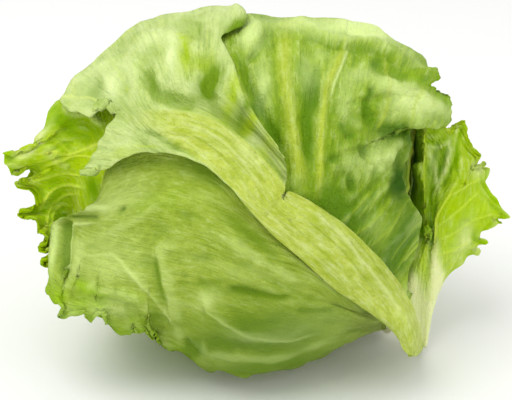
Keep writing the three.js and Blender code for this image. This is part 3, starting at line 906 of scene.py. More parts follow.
def makeFrontLeaf(material):
    leaf = frontLeaf
    sheet = spanSheet(leaf)
    along = sheet["along"]
    bandShown = easeBetween(sheet["pixels"][..., 0], *leaf["bandStart"])
    lowRib = easeBetween(leaf["ribEnd"] - along, 0, leaf["ribEase"])
    band = np.maximum(bandShare(sheet, leaf["band"], leaf["bandSoftness"]), lowRib)
    crossShape = np.sqrt(np.clip(1 - sheet["across"] ** 2, 0, 1)) - leaf["ribSink"]
    roundEnd = easeBetween(along, 0, leaf["ribRounding"])
    sheet["rise"] += lowRib * leaf["ribHeight"] * crossShape * (1 - 0.8 * along) * roundEnd
    sheet["rise"] += leaf["bandHeight"] * (band - 1) * easeBetween(along, *leaf["bandRise"]) * bandShown
    sheet["paint"]["rib"] = band * bandShown
    wideBand = [(x, y, halfWidth + leaf["flowBlend"] / 2) for x, y, halfWidth in leaf["band"]]
    flowShare = 1 - np.maximum(bandShare(sheet, wideBand, leaf["flowBlend"]), lowRib) * bandShown
    fanFlow(sheet, leaf, flowShare)
    drawFeatures(sheet, leaf)
    behind = easeBetween(sheet["across"], *leaf["behind"])
    parts = {
        "blade": 1 - sheet["paint"]["rib"],
        "ribTop": sheet["paint"]["rib"] * easeBetween(along, *leaf["ribTopStart"]),
        "behind": behind,
        "margin": 0.25 + 0.75 * behind,
    }
    finishSurface(sheet, leaf, parts)
    sheet["paint"]["edge"] *= leaf["edgePaint"]
    paintReliefShadeAndSheen(sheet, *leaf["tint"])
    sheetObject("frontLeaf", sheet, material, leaf)


# smooth leaf wrapped over the lower front, frilled at the bottom and rolled at the left
lowerLeaf = {
    "node": "lower_leaf", "turn": -45, "layer": -1, "floor": 0.8, "lattice": (260, 130),
    "thickness": 0.75, "ribThickness": 1.6, "sharpRails": (0,), "lobeReach": 0.16, "tint": (0.35, 0.3, 0.6),
    "shownTo": 0.97, "shownEase": 0.3, "frillStart": (0.48, 0.62), "frillEnd": (0.04, 0.15),
    "toothStart": (0.4, 0.5), "edgeWidth": 8.0, "edgePaint": 0.8,
    "wrinkles": [("shown", 0.7, 90.0, 13.0, 24), ("shown", 0.18, 60.0, 4.0, 26),
                 ("shown", 0.07, 40.0, 1.5, 27)],
    "crumples": [("shown", 21, (1.2, 30.0), (0.45, 12.0), (0.16, 5.0))],
    "frills": [("margin", 0.9, 15.0, 11.0, 22, "fromLeft", "edgeLength")],
    "teeth": [("toothed", 1.2, 4.0, 5.0, 25, "fromLeft", -1)],
    "rails": [
        (-1, [turned(0, 14, 6, 2), (0.05, 388, 330, 3), (0.09, 374, 331, 2), (0.13, 362, 337, 1),
              (0.17, 345, 343, 1), (0.2, 331, 353, 1), (0.22, 324, 360, 1), (0.26, 308, 362, 1),
              (0.3, 296, 369, 1), (0.36, 273, 372, 1), (0.41, 254, 374, 1), (0.43, 246, 377, 1),
              (0.46, 232, 374, 1), (0.49, 217, 369, 1), (0.505, 208, 373, 1), (0.52, 200, 367, 1),
              (0.55, 188, 357, 1), (0.58, 176, 351, 2), (0.6, 166, 351, 2), (0.62, 160, 342, 2),
              (0.635, 158, 334, 3), (0.65, 153, 340, 4), (0.665, 147, 330, 4), (0.68, 139, 334, 5),
              (0.695, 135, 329, 5), (0.71, 130, 337, 5), (0.725, 121, 336, 6), (0.74, 111, 331, 6),
              (0.755, 109, 324, 6), (0.77, 107, 312, 7), (0.785, 98, 314, 8), (0.8, 91, 323, 8),
              (0.815, 86, 316, 9), (0.835, 72, 315, 10), (0.855, 60, 320, 12), (0.87, 65, 308, 11),
              (0.885, 57, 304, 12), (0.905, 51, 299, 13), (0.925, 46, 289, 13), (0.945, 51, 281, 10),
              (0.97, 52, 268, 8), (1, 54, 252, 6)]),
        (0, [turned(0, 14, 10, 1), (0.12, 352, 312), (0.3, 285, 295), (0.45, 225, 275), (0.6, 170, 258),
             (0.75, 120, 246), (0.88, 84, 236, 0.5), (1, 58, 221, 3.5)]),
        (0.5, [turned(0, 14, 12, 1), turned(0.12, 24, 20), (0.3, 300, 262), (0.45, 240, 218),
               (0.6, 190, 196), (0.75, 145, 190), (0.88, 116, 194, 0.5), (1, 90, 208.5, 1.5)]),
        (1, [turned(0, 14, 13, 1), turned(0.12, 26, 24), turned(0.3, 50, 38), turned(0.45, 74, 47),
             (0.6, 208, 152, -0.6), (0.75, 162, 138, -0.6), (0.88, 128, 146, -0.6), (0.95, 109, 162, -0.6),
             (1, 104, 182, 0)]),
    ],
    "ridges": [
        (1.6, 4, [(53, 280), (54, 258), (56, 232), (61, 214), (70, 208), (88, 207), (106, 208)]),
        (0.6, 3, [(118, 262), (148, 290), (170, 318), (184, 340)]),
        (1.2, 7, [(84, 236), (79, 256), (77, 280)]), (0.8, 5, [(104, 232), (130, 224), (160, 202)]),
        (-0.9, 5, [(110, 320), (140, 318), (168, 334)]),
        (-1.2, 4.5, [(84, 290), (100, 300), (118, 302), (140, 312)]),
        (1, 5, [(80, 284), (96, 290), (116, 292), (142, 300)]),
        (0.5, 6, [(200, 350), (240, 356), (290, 354), (330, 340)]),
        (-0.9, 5, [(205, 340), (240, 346), (285, 346), (320, 334)]),
        (-2, 4, [(184, 338), (190, 347), (197, 356)]), (0.9, 6, [(228, 240), (262, 262), (300, 280)]),
        (-0.8, 5, [(214, 246), (250, 268), (290, 290), (330, 306)]),
        (0.7, 5, [(196, 286), (214, 308), (236, 326)]),
    ],
    "steps": [
        (-1.4, 4, 22, [(184, 222), (170, 230), (156, 245), (153, 259), (159, 274), (163, 292), (169, 312),
                       (177, 330)]),
        (0.8, 4, 18, [(60, 300), (90, 306), (112, 312)]),
    ],
    "lines": {
        # hollow lines painted darker: painted shade in the channel behind the rolled rim, in creases and in
        # dents
        "deep": [(-3, 5, 1, [(66, 219), (66, 244), (65, 276)]),
                 (-1, 1.9, 0.6, [(68, 217), (82, 217), (98, 217)]),
                 (-0.9, 2.8, 0.9, [(228, 288), (250, 292), (274, 297), (292, 296)]),
                 (-0.8, 2.5, 0.7, [(246, 327), (262, 325), (282, 322)]),
                 (-0.6, 2.5, 0.6, [(296, 310), (316, 311), (334, 310)]),
                 (-0.8, 3, 0.8, [(155, 252), (157, 266), (161, 284), (166, 304)]),
                 (-0.5, 2.5, 0.6, [(262, 344), (272, 347), (284, 346)]),
                 (-0.6, 3.5, 0.3, [(196, 280), (208, 284), (224, 282)])],
        "pale": [(0.9, 1.3, 0.55, [(98, 223), (82, 224), (71, 227), (70, 250), (69, 277)]),
                 (0.5, 1.4, 0.36, [(84, 256), (112, 256), (136, 278), (156, 300), (178, 328)]),
                 (0.4, 1.3, 0.4, [(176, 298), (204, 309), (230, 326), (252, 336), (290, 340), (320, 334)])],
    },
    "dents": {
        "deep": [(-1.8, 122, 210, 3.5, 2.5, 30, 0.9), (-0.8, 170, 236, 10, 6, 30, 0.4),
                 (-0.6, 204, 258, 10, 5, 0, 0.5), (-0.6, 184, 214, 10, 6, 0, 0.4)],
    },
    "spots": {
        # darker green, with painted shade over the lower part, which faces down
        "deep": [(250, 235, 36, 7, -40, 0.9), (208, 350, 26, 10, 0, 0.5), (280, 362, 60, 9, 6, 0.6),
                 (160, 318, 20, 6, -15, 0.5), (192, 350, 8, 12, -30, 1), (205, 172, 26, 10, -30, 0.9),
                 (262, 332, 80, 24, -4, 1), (250, 372, 90, 12, 0, 0.6), (320, 318, 60, 24, 20, 0.35),
                 (245, 292, 40, 10, -6, 0.5), (150, 163, 40, 6, 0, 0.5)],
        "pale": [(100, 246, 36, 20, 0, 0.3), (57, 240, 2.5, 30, -5, 0.8), (84, 207, 20, 3, 0, 0.8),
                 (110, 205, 26, 10, 10, 0.4), (110, 270, 30, 14, 0, 0.35), (208, 298, 12, 9, 0, 0.5),
                 (310, 330, 60, 18, 10, 0.2), (240, 270, 60, 8, -10, 0.15), (128, 190, 24, 14, 0, 0.25),
                 (112, 306, 26, 12, 10, 0.4)],
        "glow": [(84, 287, 12, 6, -20, 0.9), (58, 296, 8, 8, 0, 0.9), (160, 200, 40, 12, 10, 0.25),
                 (92, 300, 20, 12, 10, 0.4), (130, 296, 22, 8, 0, 0.4)],
        # painted shade along the bottom and in a dent
        "dark": [(258, 338, 56, 16, 0, 0.36), (250, 290, 24, 5, -4, 0.25)],
    },
}


def makeLowerLeaf(material):
    leaf = lowerLeaf
    sheet = spanSheet(leaf)
    drawFeatures(sheet, leaf)
    along = sheet["along"]
    frilled = easeBetween(along, *leaf["frillStart"])
    parts = {
        "shown": easeBetween(leaf["shownTo"] - sheet["across"], 0, leaf["shownEase"]),
        "margin": frilled * easeBetween(1 - along, *leaf["frillEnd"]),
        "toothed": easeBetween(along, *leaf["toothStart"]),
    }
    finishSurface(sheet, leaf, parts)
    lowerEdge = bell(sheet["fromLeft"], leaf["edgeWidth"]) * frilled
    sheet["paint"]["edge"] = np.maximum(0.5 * sheet["paint"]["edge"], leaf["edgePaint"] * lowerEdge)
    paintReliefShadeAndSheen(sheet, *leaf["tint"])
    sheetObject("lowerLeaf", sheet, material, leaf)


# blistered leaf over the upper right, with side ribs
upperLeaf = {
    "node": "upper_leaf", "turn": 45, "layer": -1, "floor": 0.8, "lattice": (240, 140),
    "thickness": 0.75, "ribThickness": 1.6, "tint": (0.5, 0.22), "fan": (302, 380, 95.0),
    "blisterLeft": (322, 340), "blisterTop": (76, 100), "blisterBottom": 206, "blisterEase": 26,
    "lobe": (0.64, 0.06),
    "wrinkles": [("rest", 0.7, 70.0, 8.0, 38), ("rest", 0.3, 40.0, 3.0, 39)],
    "crumples": [(None, 31, (0.9, 20.0), (0.4, 9.0), (0.2, 4.5))],
    "puckers": [("blistered", 1.5, 8.0, 5.0, 33, 0.1), ("blistered", 0.8, 3.6, 2.4, 35, 0.1),
                ("rest", 0.5, 9.0, 5.0, 34, 0.05)],
    "frills": [("lobe", 0.9, 8.0, 8.0, 36, "fromRight", "edgeLength")],
    "teeth": [("lobe", 2.4, 4.0, 5.0, 37, "fromRight", 1)],
    "rails": [
        (-1, [turned(0, 14, -10, 1), turned(0.12, 24, -18), turned(0.28, 46, -30), turned(0.45, 70, -38),
              turned(0.6, 92, -37), turned(0.72, 108, -34), turned(0.82, 122, -30, -1),
              turned(0.92, 140, -18, -2), turned(1, 156, -2, -3)]),
        (0, [turned(0, 14, -4, 2), (0.14, 392, 285, 0), (0.3, 372, 240, 0), (0.45, 350, 190, 0),
             (0.6, 330, 140, 0), (0.75, 305, 92, 0), (0.88, 276, 50, 0), (0.95, 256, 26, 1),
             turned(1, 146, 22, -1)]),
        (1, [turned(0, 15, 0, 4), (0.08, 405, 318, 4), (0.13, 404, 300, 2.5), (0.17, 406, 284, 2),
             (0.21, 411, 266, 1.5), (0.26, 418, 246, 1.5), (0.31, 420, 226, 1.5), (0.345, 413, 208, 1.5),
             (0.38, 404, 192, 1), (0.42, 401, 174, 1), (0.46, 405, 158, 1), (0.49, 409, 146, 1),
             (0.515, 411, 131, 1), (0.53, 420, 122, 0.5), (0.542, 432, 121, 1.5), (0.555, 444, 122, 5),
             (0.568, 455, 124, 8), (0.582, 467, 117, 11), (0.6, 460, 103, 11), (0.625, 446, 93, 10),
             (0.65, 431, 86, 8), (0.67, 440, 78, 11), (0.69, 439, 68, 11), (0.71, 428, 66, 8),
             turned(0.75, 72, 46, 3), turned(0.82, 88, 55, 0), turned(0.92, 116, 58, -2),
             turned(1, 142, 52, -3)]),
    ],
    "ridges": [
        (-2.4, 6, [(240, 58), (250, 86), (262, 112), (276, 138), (290, 168)]),
        (-1.6, 7, [(304, 50), (306, 90), (306, 130), (312, 168)]),
        (-1.8, 3.5, [(322, 60), (316, 76), (313, 92), (312, 110)]),
        (1.6, 4, [(300, 20), (314, 28), (328, 36), (340, 39), (360, 38), (376, 40), (394, 51), (412, 64),
                  (428, 70)]),
        (-1.4, 4, [(306, 28), (322, 40), (340, 46), (362, 46), (382, 50), (404, 66)]),
        (-0.9, 4, [(312, 18), (328, 26), (344, 31), (364, 30)]),
        (1.8, 5, [(240, 48), (250, 34), (262, 22)]),
        (-2.2, 3.5, [(246, 62), (256, 50), (264, 38), (271, 25)]),
        (1, 2.4, [(352, 222), (372, 200), (388, 182)]), (0.9, 2, [(366, 232), (382, 212), (394, 196)]),
        (0.8, 3, [(378, 254), (400, 232), (414, 212)]), (-0.9, 3, [(344, 214), (366, 192), (384, 172)]),
        (-0.9, 2.4, [(360, 226), (380, 204), (396, 184)]),
        (1.2, 2.4, [(420, 226), (412, 206), (402, 190), (400, 174), (404, 156), (410, 140)]),
        (2, 7, [(376, 82), (398, 86), (420, 94), (444, 108)]),
        (-0.8, 8, [(376, 130), (392, 128), (408, 128)]), (-1.2, 4, [(372, 66), (392, 72), (408, 84)]),
        (1.4, 5, [(384, 158), (392, 150), (404, 138)]),
    ],
    "lines": {
        "rib": [(1.3, 7, 0.8, [(286, 26), (284, 60), (288, 100), (294, 145), (303, 190)]),
                (1.6, 3.8, 0.95, [(346, 41), (338, 62), (328, 84), (324, 104), (321, 130), (320, 165),
                                  (318, 196)]),
                (0.6, 1.8, 0.6, [(385, 50), (388, 80), (386, 106), (376, 134)])],
        # painted highlight along the lit side of the second rib
        "pale": [(0.7, 1.2, 0.7, [(350, 44), (343, 62), (334, 84), (330, 100)])],
        "vein": [(0.4, 1.2, 0.6, [(424, 84), (416, 100), (412, 116), (409, 138)]),
                 (0.3, 1, 0.5, [(411, 134), (409, 148), (402, 162), (399, 178), (404, 194)]),
                 (0.4, 1, 0.35, [(392, 262), (404, 240), (416, 222)]),
                 (0.4, 1, 0.3, [(396, 272), (410, 250), (419, 236)]),
                 (0.3, 1, 0.3, [(384, 240), (396, 218), (406, 200)]),
                 (0.4, 1, 0.35, [(336, 226), (352, 214), (372, 190)]),
                 (0.4, 1, 0.35, [(350, 240), (372, 222), (392, 196)]),
                 (0.4, 1, 0.3, [(366, 250), (386, 232), (402, 208)]),
                 (0.4, 1.2, 0.6, [(404, 262), (414, 250), (424, 240)])],
        "deep": [(-0.4, 1.4, 0.9, [(388, 252), (400, 230), (412, 212)]),
                 (-0.4, 1.4, 0.8, [(400, 262), (410, 244), (418, 228)]),
                 (-0.4, 1.4, 0.8, [(344, 232), (362, 210), (380, 186)])],
    },
    "dents": {
        # hollows painted darker are painted shade, and swellings painted paler are painted highlight
        "deep": [(-2.4, 371, 91, 3, 5, 0, 1), (-2.6, 368, 112, 5, 12, 10, 1),
                 (-2, 362, 152, 4, 6, 10, 0.9), (-2, 352, 184, 3.5, 7, 10, 0.8),
                 (-1.2, 316, 92, 3.5, 14, 10, 0.8), (-1.2, 376, 62, 5, 3.5, 10, 0.9),
                 (-1.2, 405, 62, 3, 3, 0, 0.8), (-1, 392, 130, 16, 10, -10, 1),
                 (-1.4, 342, 128, 4, 6, 0, 0.6), (-1.2, 334, 158, 4, 4, 0, 0.5),
                 (-1.2, 350, 136, 5, 4, 0, 0.5), (-1.2, 374, 172, 4, 6, -30, 0.5),
                 (-1, 258, 104, 6, 20, -30, 1), (-0.8, 276, 138, 7, 22, -30, 0.7)],
        "pale": [(1.4, 372, 168, 18, 12, 20, 0.2), (1.2, 350, 160, 12, 14, 0, 0.12)],
    },
    "spots": {
        # darker green, with painted shade beside the margin of the front leaf over it
        "deep": [(306, 130, 8, 60, -4, 0.7), (335, 210, 26, 22, 0, 1), (356, 236, 50, 20, -45, 0.5),
                 (396, 236, 18, 40, -30, 0.45), (350, 150, 34, 50, 0, 0.35), (398, 256, 12, 26, -30, 0.9),
                 (268, 128, 10, 40, -34, 0.6), (398, 250, 14, 20, 30, 0.4)],
        "glow": [(388, 240, 12, 14, 0, 0.5), (400, 282, 8, 12, 0, 0.7), (300, 24, 26, 4, 0, 0.6),
                 (404, 262, 8, 12, 0, 0.5)],
        # painted shade in the hollow between this leaf and the right leaf
        "dark": [(392, 132, 18, 9, 0, 0.45), (396, 186, 8, 20, 0, 0.5), (408, 226, 12, 24, -20, 0.3),
                 (400, 178, 9, 28, 0, 0.8), (408, 140, 5, 14, 0, 0.6)],
        # pale tissue, with painted sheen on crests and painted light along the top margin
        "pale": [(376, 226, 10, 16, 30, 0.15), (252, 38, 12, 14, -25, 0.7), (264, 84, 7, 24, -8, 0.5),
                 (340, 26, 70, 9, -4, 0.8), (406, 96, 26, 10, -25, 0.9), (368, 28, 30, 8, -20, 0.8),
                 (412, 112, 20, 10, -15, 0.5), (430, 106, 22, 6, -20, 0.6), (345, 100, 10, 20, 0, 0.4),
                 (360, 74, 16, 9, 0, 0.45), (404, 304, 5, 14, 0, 0.8), (380, 154, 14, 14, 20, 0.5),
                 (308, 70, 14, 20, 0, 0.35)],
        "edge": [(444, 98, 10, 10, 0, 0.9), (418, 80, 16, 6, -25, 0.9)],
    },
    "swells": [(-1.1, 396, 38, 36, 14), (-1.2, 280, 12, 26, 9)],
}


def makeUpperLeaf(material):
    leaf = upperLeaf
    sheet = spanSheet(leaf)
    fanFlow(sheet, leaf)
    drawFeatures(sheet, leaf)
    x, y = sheet["pixels"][..., 0], sheet["pixels"][..., 1]
    blistered = easeBetween(x, *leaf["blisterLeft"]) * easeBetween(y, *leaf["blisterTop"])
    blistered = blistered * easeBetween(leaf["blisterBottom"] - y, 0, leaf["blisterEase"]) * seenShare(sheet)
    lobePlace, lobeWidth = leaf["lobe"]
    lobe = bell(sheet["along"] - lobePlace, lobeWidth)
    finishSurface(sheet, leaf, {"blistered": blistered, "rest": 1 - blistered, "lobe": lobe})
    paintReliefShadeAndSheen(sheet, *leaf["tint"])
    sheetObject("upperLeaf", sheet, material, leaf)


# bright frilled leaf that stands off the head at the right: stations are x, y and depth
rightLeaf = {
    "node": "right_leaf", "standing": True, "floor": 0.8, "lattice": (260, 120),
    "thickness": 0.7, "ribThickness": 2.2, "sharpRails": (4,), "lobeReach": 0.3, "tint": (0.35, 0.3),
    "awayFrom": (0.15, 0.4), "leftHalf": ((-0.05, 0.2), (-0.75, -0.6)),
    "crumples": [("away", 41, (1.2, 15.0), (0.5, 7.0), (0.25, 4.0))],
    "puckers": [("away", 0.3, 7.0, 4.0, 43, 0.15), ("leftHalf", 1.3, 7.0, 2.8, 47, 0.1, 0.4)],
    "frills": [("away", 1.6, 12.0, 11.0, 44, "fromRight", "edgeLength"),
               ("away", 1.0, 7.0, 6.0, 46, "fromTip", "sideLength")],
    "rails": [
        (-1, [(0, 420, 346, -14), (0.08, 410, 328, -14), (0.16, 402, 300, -16), (0.28, 400, 270, -20),
              (0.42, 400, 235, -26), (0.58, 400, 205, -30), (0.72, 402, 172, -32), (0.86, 406, 144, -28),
              (1, 412, 128, -20)]),
        (-0.68, [(0, 422, 346, -10), (0.08, 413, 328, -8), (0.16, 405, 302, -6), (0.26, 411, 272, -4),
                 (0.34, 421, 248, -2), (0.38, 426, 238, -1), (0.46, 423, 224, 0), (0.56, 421, 204, 1),
                 (0.65, 420, 184, 2), (0.695, 416, 170, 4), (0.725, 415, 165, 5), (0.76, 420, 161, 6),
                 (0.85, 422, 144, 13), (0.93, 422, 130, 22), (1, 425, 115, 31)]),
        (-0.35, [(0, 424, 347, -9), (0.2, 418, 298, -6), (0.34, 428, 258, -3), (0.44, 430, 240, -3),
                 (0.6, 430, 202, -1), (0.72, 431, 174, 0), (0.84, 431, 148, 9), (0.93, 428, 132, 20),
                 (1, 430, 124, 26)]),
        (0, [(0, 426, 348, -9), (0.2, 430, 300, -5), (0.38, 434, 248, -1), (0.52, 437, 214, 2),
             (0.64, 447, 196, 3), (0.76, 456, 176, 3), (0.88, 451, 148, 7), (0.95, 441, 128, 16),
             (1, 434.5, 114, 21)]),
        (1, [(0, 427, 346, -11), (0.08, 432, 316, -14), (0.15, 438, 295, -15), (0.2, 446, 279, -15),
             (0.24, 455, 270, -15), (0.28, 464, 262, -14), (0.32, 473, 253, -13), (0.34, 479, 251, -13),
             (0.355, 474, 248, -13), (0.375, 488, 242, -12), (0.395, 479, 239, -12), (0.42, 482, 233, -12),
             (0.45, 491, 227, -11), (0.475, 503, 223, -11), (0.49, 498, 219, -11), (0.52, 510, 217, -10),
             (0.56, 502, 206, -10), (0.6, 492, 194, -10), (0.635, 487, 182, -10), (0.65, 488, 174, -10),
             (0.67, 490, 168, -10), (0.685, 484, 166, -9), (0.7, 486, 161, -9), (0.725, 473, 168, -9),
             (0.75, 480, 159, -10), (0.77, 483, 154, -10), (0.79, 473, 149, -8), (0.83, 467, 136, -7),
             (0.88, 464, 120, -5), (0.92, 456, 124, -1), (0.96, 448, 132, 4), (1, 441, 127, 12)]),
    ],
    "lines": {
        "vein": [(0.4, 1.1, 0.9, [(434, 252), (435, 232), (437, 216), (447, 198), (457, 179)]),
                 (0.4, 1.1, 0.5, [(437, 226), (448, 218), (466, 204), (480, 190)]),
                 (0.4, 1.1, 0.4, [(437, 240), (456, 232), (476, 220), (496, 214)]),
                 (0.4, 1.1, 0.5, [(437, 256), (452, 250), (470, 240)]),
                 (0.4, 1.1, 0.5, [(448, 196), (466, 186), (484, 178)]),
                 (0.5, 1, 0.5, [(424, 196), (424, 160), (425, 122)])],
        "pale": [(0.6, 2, 0.4, [(441, 182), (446, 166), (450, 150), (452, 138)]),
                 (0.6, 2, 0.3, [(428, 146), (436, 150), (444, 146), (452, 142)]),
                 (0.8, 1.4, 0.6, [(421, 236), (419, 248), (412, 262)]),
                 (0.6, 2.6, 0.35, [(428, 146), (432, 162), (436, 176), (441, 196)])],
        "deep": [(-0.7, 1.8, 0.7, [(435, 180), (444, 158), (454, 140)]),
                 (-0.7, 1.8, 0.7, [(444, 186), (452, 168), (462, 150)]),
                 (-0.7, 1.6, 0.6, [(428, 176), (434, 156), (440, 140)]),
                 (-0.8, 1.8, 0.8, [(457, 176), (457, 158), (460, 138), (463, 124)])],
    },
    "dents": {
        "deep": [(-0.8, 440, 150, 16, 26, -12, 0.45), (-0.7, 428, 236, 6, 12, 30, 0.9)],
    },
    "spots": {
        "pale": [(426, 316, 14, 34, 0, 1), (437, 270, 6, 26, 6, 1), (412, 286, 7, 20, 10, 1),
                 (426, 336, 14, 24, 0, 1), (440, 290, 7, 12, 0, 0.9), (446, 166, 4, 20, -16, 0.15),
                 (434, 164, 4, 22, -14, 0.2), (463, 240, 8, 22, -20, 0.5), (480, 172, 9, 8, 0, 0.4)],
        "glow": [(426, 272, 5, 17, 0, 1), (478, 215, 18, 20, 0, 0.7), (452, 208, 12, 20, 0, 0.9),
                 (450, 246, 9, 12, 0, 0.7)],
        # darker green, with painted shade on the shadowed left fold
        "deep": [(458, 212, 20, 30, 0, 0.3), (428, 200, 8, 30, 0, 0.6), (424, 222, 5, 12, 0, 0.8),
                 (430, 138, 8, 14, 0, 0.6), (446, 150, 10, 30, -10, 0.4)],
        # painted shade in the hollow at the leaf's left
        "dark": [(406, 180, 15, 46, 0, 0.6), (412, 216, 10, 24, 0, 0.3), (412, 140, 8, 20, 0, 0.4)],
        "edge": [(434, 128, 8, 8, 0, 0.8), (462, 134, 6, 12, 0, 0.8)],
    },
}


def makeRightLeaf(material):
    leaf = rightLeaf
    sheet = spanSheet(leaf)
    drawFeatures(sheet, leaf)
    away = easeBetween(sheet["along"], *leaf["awayFrom"])
    inward, outward = leaf["leftHalf"]
    leftHalf = easeBetween(-sheet["across"], *inward) * away * easeBetween(sheet["across"], *outward)
    finishSurface(sheet, leaf, {"away": away, "leftHalf": leftHalf})
    paintReliefShadeAndSheen(sheet, *leaf["tint"])
    sheetObject("rightLeaf", sheet, material, leaf)


# bright frilled leaf sticking out at the left: runs along its margin, from the top to the bottom
leftLeaf = {
    "node": "left_leaf", "turn": -20, "layer": -2, "floor": 0.8, "lattice": (260, 120),
    "thickness": 0.7, "ribThickness": 0.8, "sharpRails": (3,), "lobeReach": 0.35, "tint": (0.35, 0.25),
    "awayFrom": (0.2, 0.6),
    "crumples": [("away", 51, (1.2, 17.0), (0.5, 8.0), (0.2, 4.0))],
    "puckers": [("away", 0.35, 7.0, 4.5, 53, 0.1)],
    "frills": [("away", 1.3, 14.0, 10.0, 54, "fromRight", "edgeLength")],
    "rails": [
        (-1, [turned(0, 60, 0), turned(0.35, 60, -10), turned(0.7, 60, -22), turned(1, 60, -32)]),
        (-0.3, [turned(0, 130, 6), turned(0.35, 134, -12), turned(0.7, 134, -34), turned(1, 136, -45)]),
        (0.25, [turned(0, 172, 8, -1), turned(0.25, 162, -10, -1), turned(0.5, 163, -28, 0),
                turned(0.75, 162, -44, 1), turned(1, 166, -55, 1)]),
        (1, [(0, 58, 101, 9), (0.06, 49, 113, 11), (0.11, 41, 129, 14), (0.15, 33, 144, 17),
             (0.17, 24, 152, 20), (0.19, 14, 157, 24), (0.215, 3, 154, 28), (0.24, 3, 162, 28),
             (0.26, 8, 167, 27), (0.28, 12, 176, 24), (0.3, 16, 171, 23), (0.32, 28, 170, 17),
             (0.34, 30, 175, 17), (0.36, 27, 178, 18), (0.38, 17, 181, 23), (0.4, 14, 184, 24),
             (0.42, 17, 188, 23), (0.44, 29, 189, 18), (0.47, 34, 196, 16), (0.5, 36, 206, 16),
             (0.52, 32, 211, 17), (0.54, 17, 212, 23), (0.56, 17, 216, 23), (0.58, 22, 219, 21),
             (0.6, 35, 219, 17), (0.63, 37, 228, 16), (0.65, 37, 234, 16), (0.67, 42, 233, 15),
             (0.69, 45, 238, 13), (0.71, 44, 243, 14), (0.73, 38, 247, 16), (0.75, 39, 251, 16),
             (0.77, 46, 253, 13), (0.79, 51, 250, 11), (0.81, 50, 258, 12), (0.83, 42, 261, 15),
             (0.85, 42, 265, 15), (0.87, 46, 267, 13), (0.9, 51, 262, 11), (1, 57, 268, 8)]),
    ],
    "ridges": [
        (-2, 6, [(56, 112), (66, 126), (76, 136), (92, 140)]),
        (1.8, 5, [(60, 106), (76, 112), (92, 116), (104, 128)]),
        (-1.2, 5, [(48, 138), (60, 142), (74, 148)]), (1.2, 5, [(44, 148), (56, 160), (72, 168)]),
    ],
    "lines": {
        "vein": [(0.8, 1.5, 0.8, [(112, 140), (92, 146), (72, 154), (52, 152), (36, 156)]),
                 (0.6, 1.2, 0.7, [(98, 158), (78, 156), (60, 160), (44, 168)]),
                 (0.8, 1.5, 0.9, [(84, 188), (68, 185), (54, 190), (44, 202), (38, 214)]),
                 (0.7, 1.3, 0.8, [(78, 194), (64, 196), (52, 206), (46, 220), (44, 236)]),
                 (0.6, 1.2, 0.8, [(72, 206), (60, 206), (52, 216), (48, 236), (48, 256)]),
                 (0.5, 1.1, 0.7, [(82, 176), (66, 174), (50, 178), (34, 182)]),
                 (0.4, 1, 0.5, [(72, 154), (60, 144), (50, 136)]),
                 (0.4, 1, 0.5, [(56, 154), (46, 160), (36, 164)])],
    },
    "dents": {
        # a hollow painted darkest: painted shade
        "dark": [(-1.2, 92, 190, 7, 14, 10, 0.3)],
    },
    "spots": {
        "deep": [(62, 120, 16, 16, -35, 0.9), (92, 186, 8, 16, 10, 1), (84, 128, 18, 8, -35, 0.6),
                 (100, 128, 8, 18, -30, 0.5)],
        "glow": [(60, 170, 30, 26, 0, 0.6), (84, 150, 12, 14, 0, 0.5)],
        "pale": [(24, 156, 10, 3, 20, 0.5), (40, 138, 3, 18, -30, 0.5)],
    },
}


def makeLeftLeaf(material):
    leaf = leftLeaf
    sheet = spanSheet(leaf)
    sheet["flow"] = np.stack([sheet["sideLength"], sheet["edgeLength"]], -1)
    drawFeatures(sheet, leaf)
    finishSurface(sheet, leaf, {"away": easeBetween(sheet["across"], *leaf["awayFrom"])})
    paintReliefShadeAndSheen(sheet, *leaf["tint"])
    sheetObject("leftLeaf", sheet, material, leaf)


# leaves that the photograph doesn't show: angles along and across in degrees, then lift
hiddenLeaves = {
    "rear_upper_leaf": {
        "turn": 115, "layer": -2, "floor": 0.8, "seed": 61,
        "left": [(14, -12), (50, -28), (90, -36), (125, -36), (150, -30), (166, -18, -1)],
        "rib": [(14, 0), (50, 0), (90, 0), (125, 0), (152, 0), (174, 0, -1)],
        "right": [(14, 12), (50, 28), (90, 37), (125, 38), (150, 32), (168, 18, -1)],
    },
    "back_leaf": {
        "turn": 168, "layer": -1, "floor": 0.8, "seed": 71,
        "left": [(14, -12, 3), (48, -33), (85, -44), (120, -42), (140, -30, -1), (150, -16, -2)],
        "rib": [(14, 0, 4), (48, 0), (85, 0), (120, 0), (144, 0, -1), (158, 0, -2)],
        "right": [(14, 12, 3), (48, 35), (85, 47), (120, 49), (142, 38, -1), (152, 20, -2)],
    },
    "under_leaf": {
        "turn": 248, "layer": -2, "floor": 0.0, "seed": 81,
        "left": [(14, -13), (45, -32), (80, -38), (108, -34), (126, -20)],
        "rib": [(14, 0), (45, 0), (80, 0), (108, 0), (128, 0)],
        "right": [(14, 13), (45, 25), (62, 27), (80, 31), (104, 23), (120, 4)],
    },
    "inner_right_leaf": {
        "turn": 78, "layer": -3, "floor": 0.8, "seed": 91,
        "left": [(15, -12), (50, -36), (90, -47), (130, -38), (156, -16)],
        "rib": [(15, 0), (50, 0), (90, 0), (130, 0), (160, 0)],
        "right": [(15, 12), (50, 30), (90, 38), (130, 34), (156, 16)],
        # painted shade at the bottom of the hollow at the right
        "spots": {"dark": [(406, 180, 18, 50, 0, 0.6)]},
    },
    "inner_left_leaf": {
        "turn": 240, "layer": -3, "floor": 2.8, "seed": 101,
        "left": [(40, -26), (80, -44), (112, -54), (142, -50), (176, -28)],
        "rib": [(40, 0), (80, 0), (112, 0), (142, 0), (180, 0)],
        "right": [(40, 26), (80, 44), (112, 54), (142, 50), (178, 26)],
    },
}

